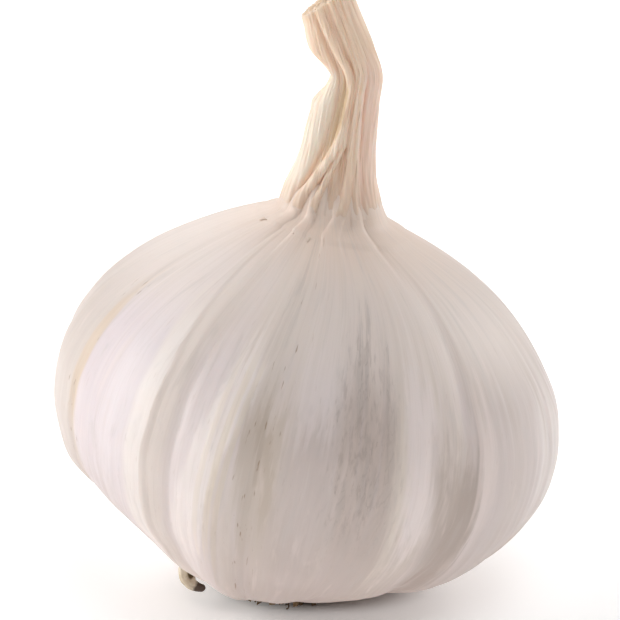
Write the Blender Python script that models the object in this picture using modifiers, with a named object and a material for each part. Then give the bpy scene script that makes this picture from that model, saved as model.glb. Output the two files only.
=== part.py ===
"""A head of elephant garlic: the bulb in its skin, drawn up into a dry neck, on its root plate.

Metres, +Z up, with the front of the head towards -Y. The origin is on the ground, under the
weight of the bulb, inside the flat spot that the trimmed roots stand on. The head leans over
towards +X, so its own axis starts left of the origin and a little above the ground.

Heights along that axis are counted from the face of the root plate. Angles round it are in
degrees from the front, and positive towards +X.
"""

import math
import random

import bmesh
import bpy
from mathutils import Matrix, Vector

MM = 0.001

# The head: an ellipse below the waist, and a shoulder that runs in more steeply above it.
WAIST_RADIUS = 51.4 * MM
WAIST_HEIGHT = 36.0 * MM
BELLY_DEPTH = 38.5 * MM
SHOULDER_RISE = 42.0 * MM
SHOULDER_POWER = 1.4
RIM_ANGLE = math.radians(20.8)

# The hollow under the head that holds the root plate.
HOLLOW_RADIUS = 15.4 * MM
HOLLOW_DEPTH = 4.0 * MM

# The neck: it flares into the shoulder and ends in a slanting cut.
NECK_RADIUS = 6.1 * MM
NECK_FLARE = 6.4 * MM
FLARE_FADE = 9.0 * MM
FLARE_HEIGHT = 74.0 * MM
NECK_TOP = 120.0 * MM
TIP_NARROWING = 0.6 * MM
TIP_START = 109.0 * MM
NECK_FLATNESS = 0.86
CUT_SLOPE = math.tan(math.radians(30))
CUT_START = 111.0 * MM
CUT_DISH = 1.0 * MM
BLEND_POWER = 7

# Where the axis starts, and how it leans at each height, in degrees towards +X.
AXIS_START = Vector((-7.9, 0.0, 3.85)) * MM
LEANS = (
    (0.0, 12.0),
    (62.0 * MM, 12.0),
    (74.0 * MM, -10.0),
    (86.0 * MM, 9.0),
    (102.0 * MM, 9.0),
    (108.0 * MM, -20.0),
    (119.0 * MM, -18.0),
    (123.0 * MM, -6.0),
)
# How far each cross-section is tipped over, in degrees towards +X.
TILTS = (
    (4.0 * MM, 11.0),
    (30.0 * MM, 12.0),
    (72.0 * MM, 12.0),
    (88.0 * MM, 2.0),
    (104.0 * MM, 0.0),
)
AXIS_STEP = 0.5 * MM

# Each clove: the angle of the furrow on its left, its ridge, and that furrow's depth.
CLOVES = (
    (-66.0, -38.4, 1.5 * MM),
    (-33.0, -18.0, 2.4 * MM),
    (-11.5, 0.0, 1.7 * MM),
    (11.0, 26.0, 1.0 * MM),
    (36.5, 44.0, 2.5 * MM),
    (68.0, 84.0, 1.6 * MM),
    (98.0, 112.0, 2.6 * MM),
    (124.0, 143.0, 1.5 * MM),
    (156.0, 170.0, 2.3 * MM),
    (182.0, 199.0, 1.6 * MM),
    (212.0, 224.0, 2.5 * MM),
    (238.0, 253.0, 1.4 * MM),
    (266.0, 281.0, 2.2 * MM),
)
SIDES_PER_CLOVE = 6
# How strong the furrows are at each height.
FURROW_SHARE = (
    (0.0, 0.3),
    (5.0 * MM, 1.25),
    (16.0 * MM, 1.25),
    (36.0 * MM, 0.9),
    (52.0 * MM, 0.5),
    (66.0 * MM, 0.12),
    (74.0 * MM, 0.0),
)
FURROW_ROUNDNESS = 0.85

# The lower left of the belly is tucked in, where the outer clove is a small one.
TUCK_ANGLE = -78.0
TUCK_SPREAD = 70.0
TUCK_DEPTH = 2.4 * MM
TUCK_SHARE = ((0.0, 0.7), (5.0 * MM, 1.0), (12.0 * MM, 0.6), (24.0 * MM, 0.0))

# Each pleat of the neck: its angle low down, its angle at the pinch, its half width, its height.
PLEATS = (
    (-58.0, -55.0, 35.0, 1.9 * MM),
    (-25.0, 2.0, 14.0, 1.6 * MM),
    (3.0, 14.0, 10.0, 1.3 * MM),
    (38.0, 38.0, 22.0, 1.7 * MM),
    (80.0, 78.0, 24.0, 1.4 * MM),
    (122.0, 118.0, 22.0, 1.6 * MM),
    (158.0, 154.0, 19.0, 1.3 * MM),
    (194.0, 190.0, 22.0, 1.7 * MM),
    (232.0, 228.0, 21.0, 1.3 * MM),
    (266.0, 263.0, 20.0, 1.5 * MM),
)
PLEAT_LOW = 80.0 * MM
PLEAT_HIGH = 102.0 * MM
PLEAT_SHARE = (
    (68.0 * MM, 0.0),
    (76.0 * MM, 0.6),
    (86.0 * MM, 1.0),
    (106.0 * MM, 0.9),
    (113.0 * MM, 0.55),
    (123.0 * MM, 0.5),
)
PLEAT_SINK = 0.62

# The pinch, a sharp dent in the left of the neck where it has creased.
PINCH_ANGLE = -88.0
PINCH_SPREAD = 75.0
PINCH_HEIGHT = 104.3 * MM
PINCH_REACH = 5.4 * MM
PINCH_DEPTH = 4.6 * MM

# Rings of points along the turned outline.
BELLY_RINGS = 13
SHOULDER_RINGS = 12
SHOULDER_END = math.radians(62)
NECK_RING_GAP = 2.2 * MM

# The root plate, the pad of cut roots under it, and the separate root stubs round it.
PLATE_RADIUS = 14.9 * MM
PLATE_BOTTOM = -0.9 * MM
PLATE_TOP = 3.6 * MM
PLATE_SIDES = 36
PAD_CENTRE = 4.2 * MM
PAD_RADIUS = 10.0 * MM
PAD_NARROWING = 1.6 * MM
PAD_BOTTOM = -5.4 * MM
STUB_SIDES = 6
STUB_RINGS = (
    # how many, radius of the ring, splay in degrees, length
    (11, 6.6 * MM, 6.0, 2.6 * MM),
    (15, 9.4 * MM, 12.0, 2.2 * MM),
    (19, 11.8 * MM, 20.0, 1.9 * MM),
    (21, 13.7 * MM, 30.0, 1.5 * MM),
)
STUB_RADIUS = 0.85 * MM
STUB_TAPER = 0.6
STUB_SPREAD = 0.22
HANGING_ROOT = (
    # along the axis frame: towards +X, towards the back, up the axis
    Vector((-11.8, -5.2, 0.6)) * MM,
    Vector((-13.4, -7.2, -1.2)) * MM,
    Vector((-15.4, -9.2, -1.9)) * MM,
    Vector((-14.6, -9.6, -4.6)) * MM,
)
HANGING_ROOT_RADIUS = 1.15 * MM
SEED = 7

SKIN_COLOUR = (0.80, 0.72, 0.67, 1.0)
ROOT_COLOUR = (0.42, 0.31, 0.20, 1.0)


def eased(table, x):
    """The value at x of a table of (x, value) rows, with a smooth step between rows."""
    if x <= table[0][0]:
        return table[0][1]
    for (x0, y0), (x1, y1) in zip(table, table[1:]):
        if x <= x1:
            share = (x - x0) / (x1 - x0)
            return y0 + (y1 - y0) * share * share * (3 - 2 * share)
    return table[-1][1]


def make_axis():
    """Points along the bent axis, one every AXIS_STEP of height."""
    points = [AXIS_START.copy()]
    count = math.ceil((NECK_TOP + 12 * MM) / AXIS_STEP)
    for step in range(count):
        lean = math.radians(eased(LEANS, (step + 0.5) * AXIS_STEP))
        points.append(points[-1] + Vector((math.sin(lean), 0.0, math.cos(lean))) * AXIS_STEP)
    return points


AXIS = make_axis()


def on_axis(height):
    """The axis point at this height; below the root plate it runs on straight."""
    place = height / AXIS_STEP
    step = min(max(int(place), 0), len(AXIS) - 2)
    return AXIS[step].lerp(AXIS[step + 1], place - step)


def placed(radius, angle, height):
    """A point given by radius, angle and height round the bent axis, in the part's frame."""
    tilt = math.radians(eased(TILTS, height))
    across = radius * math.sin(math.radians(angle))
    back = -radius * math.cos(math.radians(angle))
    offset = Vector((across * math.cos(tilt), back, -across * math.sin(tilt)))
    return on_axis(height) + offset


def neck_radius(height):
    flare = NECK_FLARE * math.exp(-max(height - FLARE_HEIGHT, 0.0) / FLARE_FADE)
    tip = eased(((TIP_START, 0.0), (NECK_TOP, TIP_NARROWING)), height)
    return NECK_RADIUS + flare - tip


def outline():
    """(radius, height) down the outside of the plain head, from the cut end to the hollow."""
    points = []
    height = WAIST_HEIGHT + SHOULDER_RISE * math.sin(SHOULDER_END)
    neck_rings = round((NECK_TOP - height) / NECK_RING_GAP)
    for i in range(neck_rings):
        at = NECK_TOP + (height - NECK_TOP) * i / neck_rings
        rise = min((at - WAIST_HEIGHT) / SHOULDER_RISE, 1.0)
        shoulder = WAIST_RADIUS * (1 - rise * rise) ** (SHOULDER_POWER / 2)
        blend = shoulder**BLEND_POWER + neck_radius(at) ** BLEND_POWER
        points.append((blend ** (1 / BLEND_POWER), at))
    for i in range(SHOULDER_RINGS):
        turn = SHOULDER_END * (1 - i / SHOULDER_RINGS)
        radius = WAIST_RADIUS * math.cos(turn) ** SHOULDER_POWER
        at = WAIST_HEIGHT + SHOULDER_RISE * math.sin(turn)
        blend = radius**BLEND_POWER + neck_radius(at) ** BLEND_POWER
        points.append((blend ** (1 / BLEND_POWER), at))
    for i in range(BELLY_RINGS + 1):
        turn = math.pi / 2 + (RIM_ANGLE - math.pi / 2) * i / BELLY_RINGS
        points.append((WAIST_RADIUS * math.sin(turn), WAIST_HEIGHT - BELLY_DEPTH * math.cos(turn)))
    rim_radius, rim_height = points[-1]
    points.append(((rim_radius + HOLLOW_RADIUS) / 2, rim_height + 0.1 * MM))
    points.append((HOLLOW_RADIUS, rim_height + 0.9 * MM))
    points.append((HOLLOW_RADIUS, HOLLOW_DEPTH))
    points.append((0.0, HOLLOW_DEPTH))
    top_radius, top_height = points[0]
    dished = [(0.0, top_height - CUT_DISH), (top_radius * 0.62, top_height - CUT_DISH)]
    return dished + [(top_radius * 0.9, top_height)] + points


def clove_angle(turn):
    """(angle, depth below the ridges) at this share of a full turn, with equal shares a clove."""
    place = (turn % 1.0) * len(CLOVES)
    index = min(int(place), len(CLOVES) - 1)
    share = place - index
    left, ridge, left_depth = CLOVES[index]
    right, _, right_depth = CLOVES[(index + 1) % len(CLOVES)]
    if index == len(CLOVES) - 1:
        right += 360.0
    if share < 0.5:
        rise = share * 2
        angle, depth = left + (ridge - left) * rise, left_depth
    else:
        rise = (1 - share) * 2
        angle, depth = right + (ridge - right) * rise, right_depth
    return angle, depth * (1 - math.sin(rise * math.pi / 2) ** FURROW_ROUNDNESS)


def tuck(angle, height):
    """How far the lower left of the belly is drawn in."""
    share = min(abs(away(angle, TUCK_ANGLE)) / TUCK_SPREAD, 1.0)
    return TUCK_DEPTH * math.cos(share * math.pi / 2) ** 2 * eased(TUCK_SHARE, height)


def away(angle, centre):
    """The signed turn from centre to angle, from -180 to 180 degrees."""
    return (angle - centre + 180.0) % 360.0 - 180.0


def pleat_rise(angle, height):
    """How far the pleats of the neck stand out here, about the neck's own radius."""
    share = min(max((height - PLEAT_LOW) / (PLEAT_HIGH - PLEAT_LOW), -0.6), 1.4)
    rise = 0.0
    for low, high, half_width, tall in PLEATS:
        u = away(angle, low + (high - low) * share) / half_width
        if abs(u) < 1:
            rise = max(rise, tall * math.sqrt(1 - u * u))
    return (rise - PLEAT_SINK * 1.5 * MM) * eased(PLEAT_SHARE, height)


def pinch_depth(angle, height):
    """The dent of the crease on the left of the neck."""
    along = abs(height - PINCH_HEIGHT) / PINCH_REACH
    round_it = abs(away(angle, PINCH_ANGLE)) / PINCH_SPREAD
    if along >= 1 or round_it >= 1:
        return 0.0
    return PINCH_DEPTH * (1 - along) ** 1.4 * math.cos(round_it * math.pi / 2) ** 2


def sculpted(co, normal):
    """Where a point of the plain turned head goes: furrows, pleats, pinch, cut and lean."""
    angle, furrow = clove_angle(math.atan2(co.y, co.x) / (2 * math.pi))
    radius, height = math.hypot(co.x, co.y), co.z
    furrow = furrow * eased(FURROW_SHARE, height) + tuck(angle, height)
    if radius > HOLLOW_RADIUS + 0.2 * MM or height > HOLLOW_DEPTH + MM:
        radius -= furrow * math.hypot(normal.x, normal.y)
        height -= furrow * normal.z
    if height > PLEAT_SHARE[0][0]:
        edge = min(radius / NECK_RADIUS, 1.0)
        radius += (pleat_rise(angle, height) - pinch_depth(angle, height)) * edge
        flat = 1 - (1 - NECK_FLATNESS) * eased(((84 * MM, 0.0), (98 * MM, 1.0)), height)
        angle_rad = math.radians(angle)
        across, back = radius * math.sin(angle_rad), radius * math.cos(angle_rad) * flat
        radius, angle = math.hypot(across, back), math.degrees(math.atan2(across, back))
        height += CUT_SLOPE * across * eased(((CUT_START, 0.0), (NECK_TOP, 1.0)), height)
    return placed(radius, angle, height)


def material(name, colour, roughness):
    made = bpy.data.materials.new(name)
    made.use_nodes = True
    shader = made.node_tree.nodes["Principled BSDF"]
    shader.inputs["Base Color"].default_value = colour
    shader.inputs["Roughness"].default_value = roughness
    return made


def mesh_object(name, mesh, collection):
    made = bpy.data.objects.new(name, mesh)
    collection.objects.link(made)
    return made


def evaluated_mesh(obj):
    """The object's mesh with its modifiers applied, as new data."""
    graph = bpy.context.evaluated_depsgraph_get()
    return bpy.data.meshes.new_from_object(obj.evaluated_get(graph))


def build_bulb(collection):
    """Turns the plain outline with a Screw, then sculpts the turned mesh."""
    points = [Vector((radius, 0.0, height)) for radius, height in outline()]
    profile = bpy.data.meshes.new("bulb_outline")
    profile.from_pydata(points, [(i, i + 1) for i in range(len(points) - 1)], [])
    turned = mesh_object("bulb_turned", profile, collection)
    screw = turned.modifiers.new("Turn", "SCREW")
    screw.steps = screw.render_steps = SIDES_PER_CLOVE * len(CLOVES)
    screw.use_merge_vertices = True
    screw.merge_threshold = 0.00001
    mesh = evaluated_mesh(turned)
    bpy.data.objects.remove(turned)

    work = bmesh.new()
    work.from_mesh(mesh)
    bmesh.ops.recalc_face_normals(work, faces=work.faces)
    work.normal_update()
    places = [sculpted(vert.co, vert.normal) for vert in work.verts]
    for vert, place in zip(work.verts, places):
        vert.co = place
    bmesh.ops.triangulate(work, faces=work.faces)
    work.to_mesh(mesh)
    work.free()
    mesh.shade_smooth()
    mesh.set_sharp_from_angle(angle=math.radians(50))
    mesh.materials.clear()
    mesh.materials.append(material("papery skin", SKIN_COLOUR, 0.5))
    return mesh_object("bulb", mesh, collection)


def axis_frame():
    """The matrix from the head's own straight axis to the part's frame, at the root plate."""
    return Matrix.Translation(AXIS_START) @ Matrix.Rotation(math.radians(TILTS[0][1]), 4, "Y")


def tapered(name, start, end, start_radius, end_radius, sides, collection):
    """A closed cone between two points of the axis frame."""
    work = bmesh.new()
    along = end - start
    bmesh.ops.create_cone(
        work,
        cap_ends=True,
        segments=sides,
        radius1=start_radius,
        radius2=end_radius,
        depth=along.length,
    )
    turn = along.to_track_quat("Z", "Y").to_matrix().to_4x4()
    bmesh.ops.transform(
        work, verts=work.verts, matrix=axis_frame() @ Matrix.Translation((start + end) / 2) @ turn
    )
    mesh = bpy.data.meshes.new(name)
    work.to_mesh(mesh)
    work.free()
    return mesh_object(name, mesh, collection)


def build_stubs(pieces):
    """The rings of cut root stubs, placed evenly with a little seeded scatter."""
    draw = random.Random(SEED)
    for count, ring_radius, splay, length in STUB_RINGS:
        for i in range(count):
            turn = 2 * math.pi * (i + draw.uniform(-STUB_SPREAD, STUB_SPREAD)) / count
            outward = Vector((math.cos(turn), math.sin(turn), 0.0))
            tilt = math.radians(splay + draw.uniform(-8.0, 8.0))
            start = outward * ring_radius + Vector((0.0, 0.0, PLATE_BOTTOM + 1.6 * MM))
            reach = length * draw.uniform(0.75, 1.1) + 1.6 * MM
            end = start + (outward * math.sin(tilt) - Vector((0, 0, math.cos(tilt)))) * reach
            thick = STUB_RADIUS * draw.uniform(0.8, 1.15)
            tapered(f"stub_{ring_radius:.4f}_{i}", start, end, thick, thick * STUB_TAPER,
                    STUB_SIDES, pieces)


def build_hanging_root(pieces):
    """The one longer root that hangs from the left edge of the plate, as a bevelled curve."""
    curve = bpy.data.curves.new("hanging_root", "CURVE")
    curve.dimensions = "3D"
    curve.bevel_depth = HANGING_ROOT_RADIUS
    curve.bevel_resolution = 2
    curve.resolution_u = 3
    curve.use_fill_caps = True
    spline = curve.splines.new("BEZIER")
    spline.bezier_points.add(len(HANGING_ROOT) - 1)
    for point, place in zip(spline.bezier_points, HANGING_ROOT):
        point.co = axis_frame() @ place
        point.handle_left_type = point.handle_right_type = "AUTO"
    spline.bezier_points[-1].radius = 0.75
    root = mesh_object("hanging_root_curve", curve, pieces)
    mesh = evaluated_mesh(root)
    bpy.data.objects.remove(root)
    work = bmesh.new()
    work.from_mesh(mesh)
    bmesh.ops.remove_doubles(work, verts=work.verts, dist=0.00001)
    bmesh.ops.recalc_face_normals(work, faces=work.faces)
    work.to_mesh(mesh)
    work.free()
    mesh_object("hanging_root", mesh, pieces)


def applied_boolean(obj, operation, **target):
    """Applies one Boolean to the object and keeps the result as its mesh."""
    cut = obj.modifiers.new("Join", "BOOLEAN")
    cut.operation = operation
    for name, value in target.items():
        setattr(cut, name, value)
    mesh = evaluated_mesh(obj)
    obj.modifiers.clear()
    obj.data = mesh


def build_root_plate(collection):
    """The corky plate, its pad and all its root stubs in one body, cut level with the ground."""
    up = Vector((0.0, 0.0, 1.0))
    plate = tapered("root_plate", up * PLATE_BOTTOM, up * PLATE_TOP, PLATE_RADIUS * 0.95,
                    PLATE_RADIUS, PLATE_SIDES, collection)
    pieces = bpy.data.collections.new("root_pieces")
    bpy.context.scene.collection.children.link(pieces)
    pad = Vector((PAD_CENTRE, 0.0, 0.0))
    tapered("pad", pad + up * PAD_BOTTOM, pad + up * 0.5 * MM, PAD_RADIUS - PAD_NARROWING,
            PAD_RADIUS, PLATE_SIDES, pieces)
    build_stubs(pieces)
    build_hanging_root(pieces)
    applied_boolean(plate, "UNION", operand_type="COLLECTION", collection=pieces)
    for piece in list(pieces.objects):
        bpy.data.objects.remove(piece)
    bpy.data.collections.remove(pieces)

    ground = bmesh.new()
    bmesh.ops.create_cube(ground, size=1.0)
    side, deep = 80 * MM, 20 * MM
    bmesh.ops.scale(ground, vec=(side, side, deep), verts=ground.verts)
    bmesh.ops.translate(ground, vec=(0.0, 0.0, -deep / 2), verts=ground.verts)
    ground_mesh = bpy.data.meshes.new("ground")
    ground.to_mesh(ground_mesh)
    ground.free()
    cutter = mesh_object("ground", ground_mesh, collection)
    applied_boolean(plate, "DIFFERENCE", object=cutter)
    bpy.data.objects.remove(cutter)

    plate.data.shade_smooth()
    plate.data.set_sharp_from_angle(angle=math.radians(35))
    plate.data.materials.clear()
    plate.data.materials.append(material("corky root", ROOT_COLOUR, 0.9))
    return plate


def main():
    for obj in list(bpy.data.objects):
        bpy.data.objects.remove(obj)
    collection = bpy.data.collections.new("elephant_garlic")
    bpy.context.scene.collection.children.link(collection)
    build_bulb(collection)
    build_root_plate(collection)


main()
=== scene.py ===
# %% [markdown]
# # A head of elephant garlic
#
# Elephant garlic is a leek that grows a very large, garlic-like bulb: a few fat cloves under papery
# skins that run up into a dried neck, on a corky disc with its roots cut short. The solids of the part
# already hold the lobed head, the pleated neck and the root plate. This script dresses them: it makes
# each visible piece again from the same driving dimensions with far more faces, and gives each one a
# procedural finish. Everything is in metres, the ground is z = 0, and the front looks towards -Y.

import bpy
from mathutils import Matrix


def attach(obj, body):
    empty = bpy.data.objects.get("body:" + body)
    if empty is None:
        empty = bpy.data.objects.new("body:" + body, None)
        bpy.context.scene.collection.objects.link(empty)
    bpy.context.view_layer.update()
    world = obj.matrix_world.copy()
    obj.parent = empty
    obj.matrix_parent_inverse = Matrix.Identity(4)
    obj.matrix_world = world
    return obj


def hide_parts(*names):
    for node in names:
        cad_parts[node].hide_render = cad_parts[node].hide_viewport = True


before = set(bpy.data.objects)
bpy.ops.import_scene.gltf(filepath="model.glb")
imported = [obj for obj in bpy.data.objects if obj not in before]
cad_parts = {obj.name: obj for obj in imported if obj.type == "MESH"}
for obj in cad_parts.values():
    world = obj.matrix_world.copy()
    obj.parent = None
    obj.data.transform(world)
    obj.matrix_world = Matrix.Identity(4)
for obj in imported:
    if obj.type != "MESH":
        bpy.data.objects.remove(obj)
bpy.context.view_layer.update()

# %% Modules and units
import math
import random

import bpy
import numpy as np
from mathutils import Vector

MM = 0.001


def deselect_all():
    """Nothing stays selected, so the next operator acts only on what is added after this."""
    bpy.ops.object.select_all(action="DESELECT")


def select_only(*pieces):
    """Selects these objects and makes the first of them the active one."""
    deselect_all()
    for piece in pieces:
        piece.select_set(True)
    bpy.context.view_layer.objects.active = pieces[0]


deselect_all()

# %% [markdown]
# ## The camera
#
# The photo was taken from the front and a little above. Fitting the outline of the head gave a camera
# 0.6 m away and 17 degrees above level, with 3018 pixels to a radian in a frame 620 pixels wide. A long
# lens on a 36 mm sensor gives the same picture with no shift.

# %% The camera
FRAME_PX = 620
PX_PER_RADIAN = 3018
CAMERA_DISTANCE = 600 * MM
CAMERA_LIFT = math.radians(17)
CAMERA_AIM = Vector((0.1, 0.0, 58.6)) * MM
SENSOR_MM = 36


def add_camera():
    deselect_all()
    bpy.ops.object.camera_add()
    camera = bpy.context.object
    camera.name = "photo_camera"
    camera.data.sensor_width = SENSOR_MM
    camera.data.lens = SENSOR_MM * PX_PER_RADIAN / FRAME_PX
    back = Vector((0.0, -math.cos(CAMERA_LIFT), math.sin(CAMERA_LIFT)))
    camera.location = CAMERA_AIM + back * CAMERA_DISTANCE
    camera.rotation_euler = (-back).to_track_quat("-Z", "Y").to_euler()
    camera.data.clip_start = 0.01
    bpy.context.scene.camera = camera
    return camera


camera = add_camera()
print("lens in mm:", round(camera.data.lens, 1))

# %% [markdown]
# ## The studio
#
# The photo has a white floor with a soft grey shadow. Broad lights stand left of the head, right of it
# and behind it, so the middle of the head is the darkest part. Several large area lights do the same
# here, with shares fitted to the brightness of about forty places in the photo. The table glows a
# little, like a light table, but not right under the head. The floor is stage: it isn't part of the
# object.

# %% The floor and the lights
FLOOR_SIZE = 6.0
LOOK_AT = Vector((0.0, 0.0, 50.0)) * MM
LIGHT_DISTANCE = 1.3
LIGHT_SIZE = 0.9
LIGHTS = (
    # name, azimuth round the head (0 in front, 90 right), lift, watts
    ("key_left", -92, 20, 11.2),
    ("back_left", -130, 40, 4.0),
    ("high_front", 30, 60, 6.6),
    ("back_right", 122, 24, 7.5),
    ("behind", 180, 30, 5.0),
)
WORLD_STRENGTH = 0.04


def add_floor():
    deselect_all()
    bpy.ops.mesh.primitive_plane_add(size=FLOOR_SIZE, location=(0, 0, 0))
    floor = bpy.context.object
    floor.name = "floor"
    return floor


def add_light(name, azimuth, lift, watts):
    turn, rise = math.radians(azimuth), math.radians(lift)
    out = Vector((math.sin(turn) * math.cos(rise), -math.cos(turn) * math.cos(rise), math.sin(rise)))
    deselect_all()
    bpy.ops.object.light_add(type="AREA", location=LOOK_AT + out * LIGHT_DISTANCE)
    light = bpy.context.object
    light.name = name
    light.data.size = LIGHT_SIZE
    light.data.energy = watts
    light.rotation_euler = (-out).to_track_quat("-Z", "Y").to_euler()


def light_world():
    world = bpy.data.worlds.new("studio")
    world.use_nodes = True
    sky = world.node_tree.nodes["Background"].inputs
    sky["Color"].default_value = (1.0, 1.0, 1.0, 1.0)
    sky["Strength"].default_value = WORLD_STRENGTH
    bpy.context.scene.world = world
    bpy.context.scene.view_settings.view_transform = "Standard"


floor = add_floor()
for row in LIGHTS:
    add_light(*row)
light_world()
print("lights:", [row[0] for row in LIGHTS])

# %% [markdown]
# ## Finishes as expressions
#
# A shader tree grows fast when each line of it is a node. A small class wraps a socket, so that
# `1 - mask * 0.5` adds the Math nodes by itself, and one method of the finish adds every other kind of
# node. Colours are mixed with the Mix node, because a Math node would turn them grey. Most finishes
# here are one base of two close tones with colours laid over it, each where its mask is.

# %% A socket that does arithmetic
class Wire:
    """A shader socket that adds a Math node for each operator used on it."""

    def __init__(self, finish, socket):
        self.finish = finish
        self.socket = socket

    def math(self, operation, *others):
        inlets = dict(enumerate((self,) + others))
        return self.finish.node("ShaderNodeMath", {"operation": operation}, inlets)

    def __add__(self, other):
        return self.math("ADD", other)

    __radd__ = __add__

    def __sub__(self, other):
        return self.math("SUBTRACT", other)

    def __rsub__(self, other):
        return self.finish.node("ShaderNodeMath", {"operation": "SUBTRACT"}, {0: other, 1: self})

    def __mul__(self, other):
        return self.math("MULTIPLY", other)

    __rmul__ = __mul__

    def __pow__(self, other):
        return self.math("POWER", other)


# %% Colours, and a finish that holds a shader tree
def linear(red, green, blue):
    """A colour given in the usual 0 to 255 screen values, as the linear values that a shader takes."""
    def one(value):
        value /= 255
        return value / 12.92 if value <= 0.04045 else ((value + 0.055) / 1.055) ** 2.4
    return (one(red), one(green), one(blue), 1.0)


class Finish:
    """A material with an empty tree, a Principled shader and its output."""

    def __init__(self, name):
        self.material = bpy.data.materials.new(name)
        self.material.use_nodes = True
        self.tree = self.material.node_tree
        self.tree.nodes.clear()
        self.shader = self.tree.nodes.new("ShaderNodeBsdfPrincipled")
        output = self.tree.nodes.new("ShaderNodeOutputMaterial")
        self.tree.links.new(self.shader.outputs["BSDF"], output.inputs["Surface"])

    def plug(self, inlet, value):
        if isinstance(value, Wire):
            self.tree.links.new(value.socket, inlet)
        else:
            inlet.default_value = value

    def node(self, kind, settings=None, inlets=None, outlet=0):
        """Adds a node, sets it, fills its sockets, and returns one of its outputs."""
        made = self.tree.nodes.new(kind)
        for name, value in (settings or {}).items():
            setattr(made, name, value)
        for name, value in (inlets or {}).items():
            self.plug(made.inputs[name], value)
        return Wire(self, made.outputs[outlet])

    def attribute(self, name, outlet="Fac"):
        return self.node("ShaderNodeAttribute", {"attribute_name": name}, outlet=outlet)

    def vector(self, operation, vector, other):
        return self.node("ShaderNodeVectorMath", {"operation": operation}, {0: vector, 1: other})

    def noise(self, vector, scale, detail, roughness, distortion=0.0):
        inlets = {"Vector": vector, "Scale": scale, "Detail": detail, "Roughness": roughness}
        return self.node("ShaderNodeTexNoise", {}, {**inlets, "Distortion": distortion})

    def grain_noise(self, around, upward, detail, roughness, distortion=0.0):
        """Noise with one scale round the head and another one up it, which has no seam."""
        grain = self.attribute("grain", "Vector")
        place = self.vector("MULTIPLY", grain, (around, around, upward))
        return self.noise(place, 1.0, detail, roughness, distortion)

    def ramp(self, value, low, high):
        """0 below low and 1 above high, with a smooth step between; low may be the larger one."""
        inlets = {"Value": value, "From Min": low, "From Max": high}
        return self.node("ShaderNodeMapRange", {"interpolation_type": "SMOOTHSTEP"}, inlets)

    def mix(self, factor, colour_a, colour_b):
        inlets = {0: factor, 6: colour_a, 7: colour_b}
        return self.node("ShaderNodeMix", {"data_type": "RGBA"}, inlets, 2)

    def two_tone(self, broad, first, second):
        """A base of two close screen colours in the slow patches of a noise."""
        return self.mix(self.ramp(broad, 0.35, 0.65), linear(*first), linear(*second))

    def layers(self, colour, *rows):
        """Lays colours over a base; each row is a mask, how much of it, and a screen colour."""
        for mask, share, tint in rows:
            colour = self.mix(mask * share, colour, linear(*tint))
        return colour

    def bump(self, height, distance, strength):
        inlets = {"Height": height, "Distance": distance, "Strength": strength}
        return self.node("ShaderNodeBump", {}, inlets)

    def end(self, **inlets):
        """Fills the sockets of the Principled shader, with _ for the spaces in their names."""
        for name, value in inlets.items():
            self.plug(self.shader.inputs[name.replace("_", " ")], value)
        return self.material


# %% [markdown]
# ## The floor's finish
#
# The floor in the photo is burnt out to white, with the shadow only close to the head. A plain white
# floor under these lights would be grey, so it gives off a little light of its own. Near the foot of
# the head that glow fades out, and the shadow stays dark there.

# %% The floor's finish
TABLE_GLOW = 0.26
NEAR_GLOW = 0.86
NEAR_FADE = (8 * MM, 15 * MM)
FAR_FADE = (40 * MM, 120 * MM)
FOOT_X = 3 * MM
FOOT_Y = -2 * MM
FOOT_STRETCH = 0.62


def floor_finish():
    finish = Finish("pale floor")
    white = linear(254, 254, 254)
    place = finish.node("ShaderNodeTexCoord", outlet=3)
    x = finish.node("ShaderNodeSeparateXYZ", {}, {0: place}, 0)
    y = finish.node("ShaderNodeSeparateXYZ", {}, {0: place}, 1)
    away_from_foot = (((x - FOOT_X) * FOOT_STRETCH) ** 2.0 + (y - FOOT_Y) ** 2.0) ** 0.5
    lit = finish.ramp(away_from_foot, *NEAR_FADE)
    lit = lit * (NEAR_GLOW + finish.ramp(away_from_foot, *FAR_FADE) * (1 - NEAR_GLOW))
    return finish.end(
        Base_Color=white,
        Roughness=0.9,
        Emission_Color=finish.mix(lit, (0.0, 0.0, 0.0, 1.0), white),
        Emission_Strength=TABLE_GLOW,
    )


floor.data.materials.append(floor_finish())
print("floor finish:", floor.data.materials[0].name)

# %% [markdown]
# ## The axis of the head
#
# The head leans over to the right and its neck bends back, so every piece is first shaped round a
# straight upright axis and then carried over to the bent one. The numbers are the ones that the solids
# were made from, so each piece lands on its solid.

# %% The axis, and where a point round it goes
AXIS_START = Vector((-7.9, 0.0, 3.85)) * MM
AXIS_END = 132 * MM
AXIS_STEP = 0.5 * MM
LEANS = (
    (0.0, 12.0),
    (62.0 * MM, 12.0),
    (74.0 * MM, -10.0),
    (86.0 * MM, 9.0),
    (102.0 * MM, 9.0),
    (108.0 * MM, -20.0),
    (119.0 * MM, -18.0),
    (123.0 * MM, -6.0),
)
TILTS = (
    (4.0 * MM, 11.0),
    (30.0 * MM, 12.0),
    (72.0 * MM, 12.0),
    (88.0 * MM, 2.0),
    (104.0 * MM, 0.0),
)


def eased(rows, x):
    """The values at x of a table of (x, value) rows, with a smooth step between rows."""
    places = np.array([row[0] for row in rows])
    values = np.array([row[1] for row in rows])
    at = np.clip(np.searchsorted(places, x) - 1, 0, len(rows) - 2)
    share = np.clip((x - places[at]) / (places[at + 1] - places[at]), 0, 1)
    return values[at] + (values[at + 1] - values[at]) * share * share * (3 - 2 * share)


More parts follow.
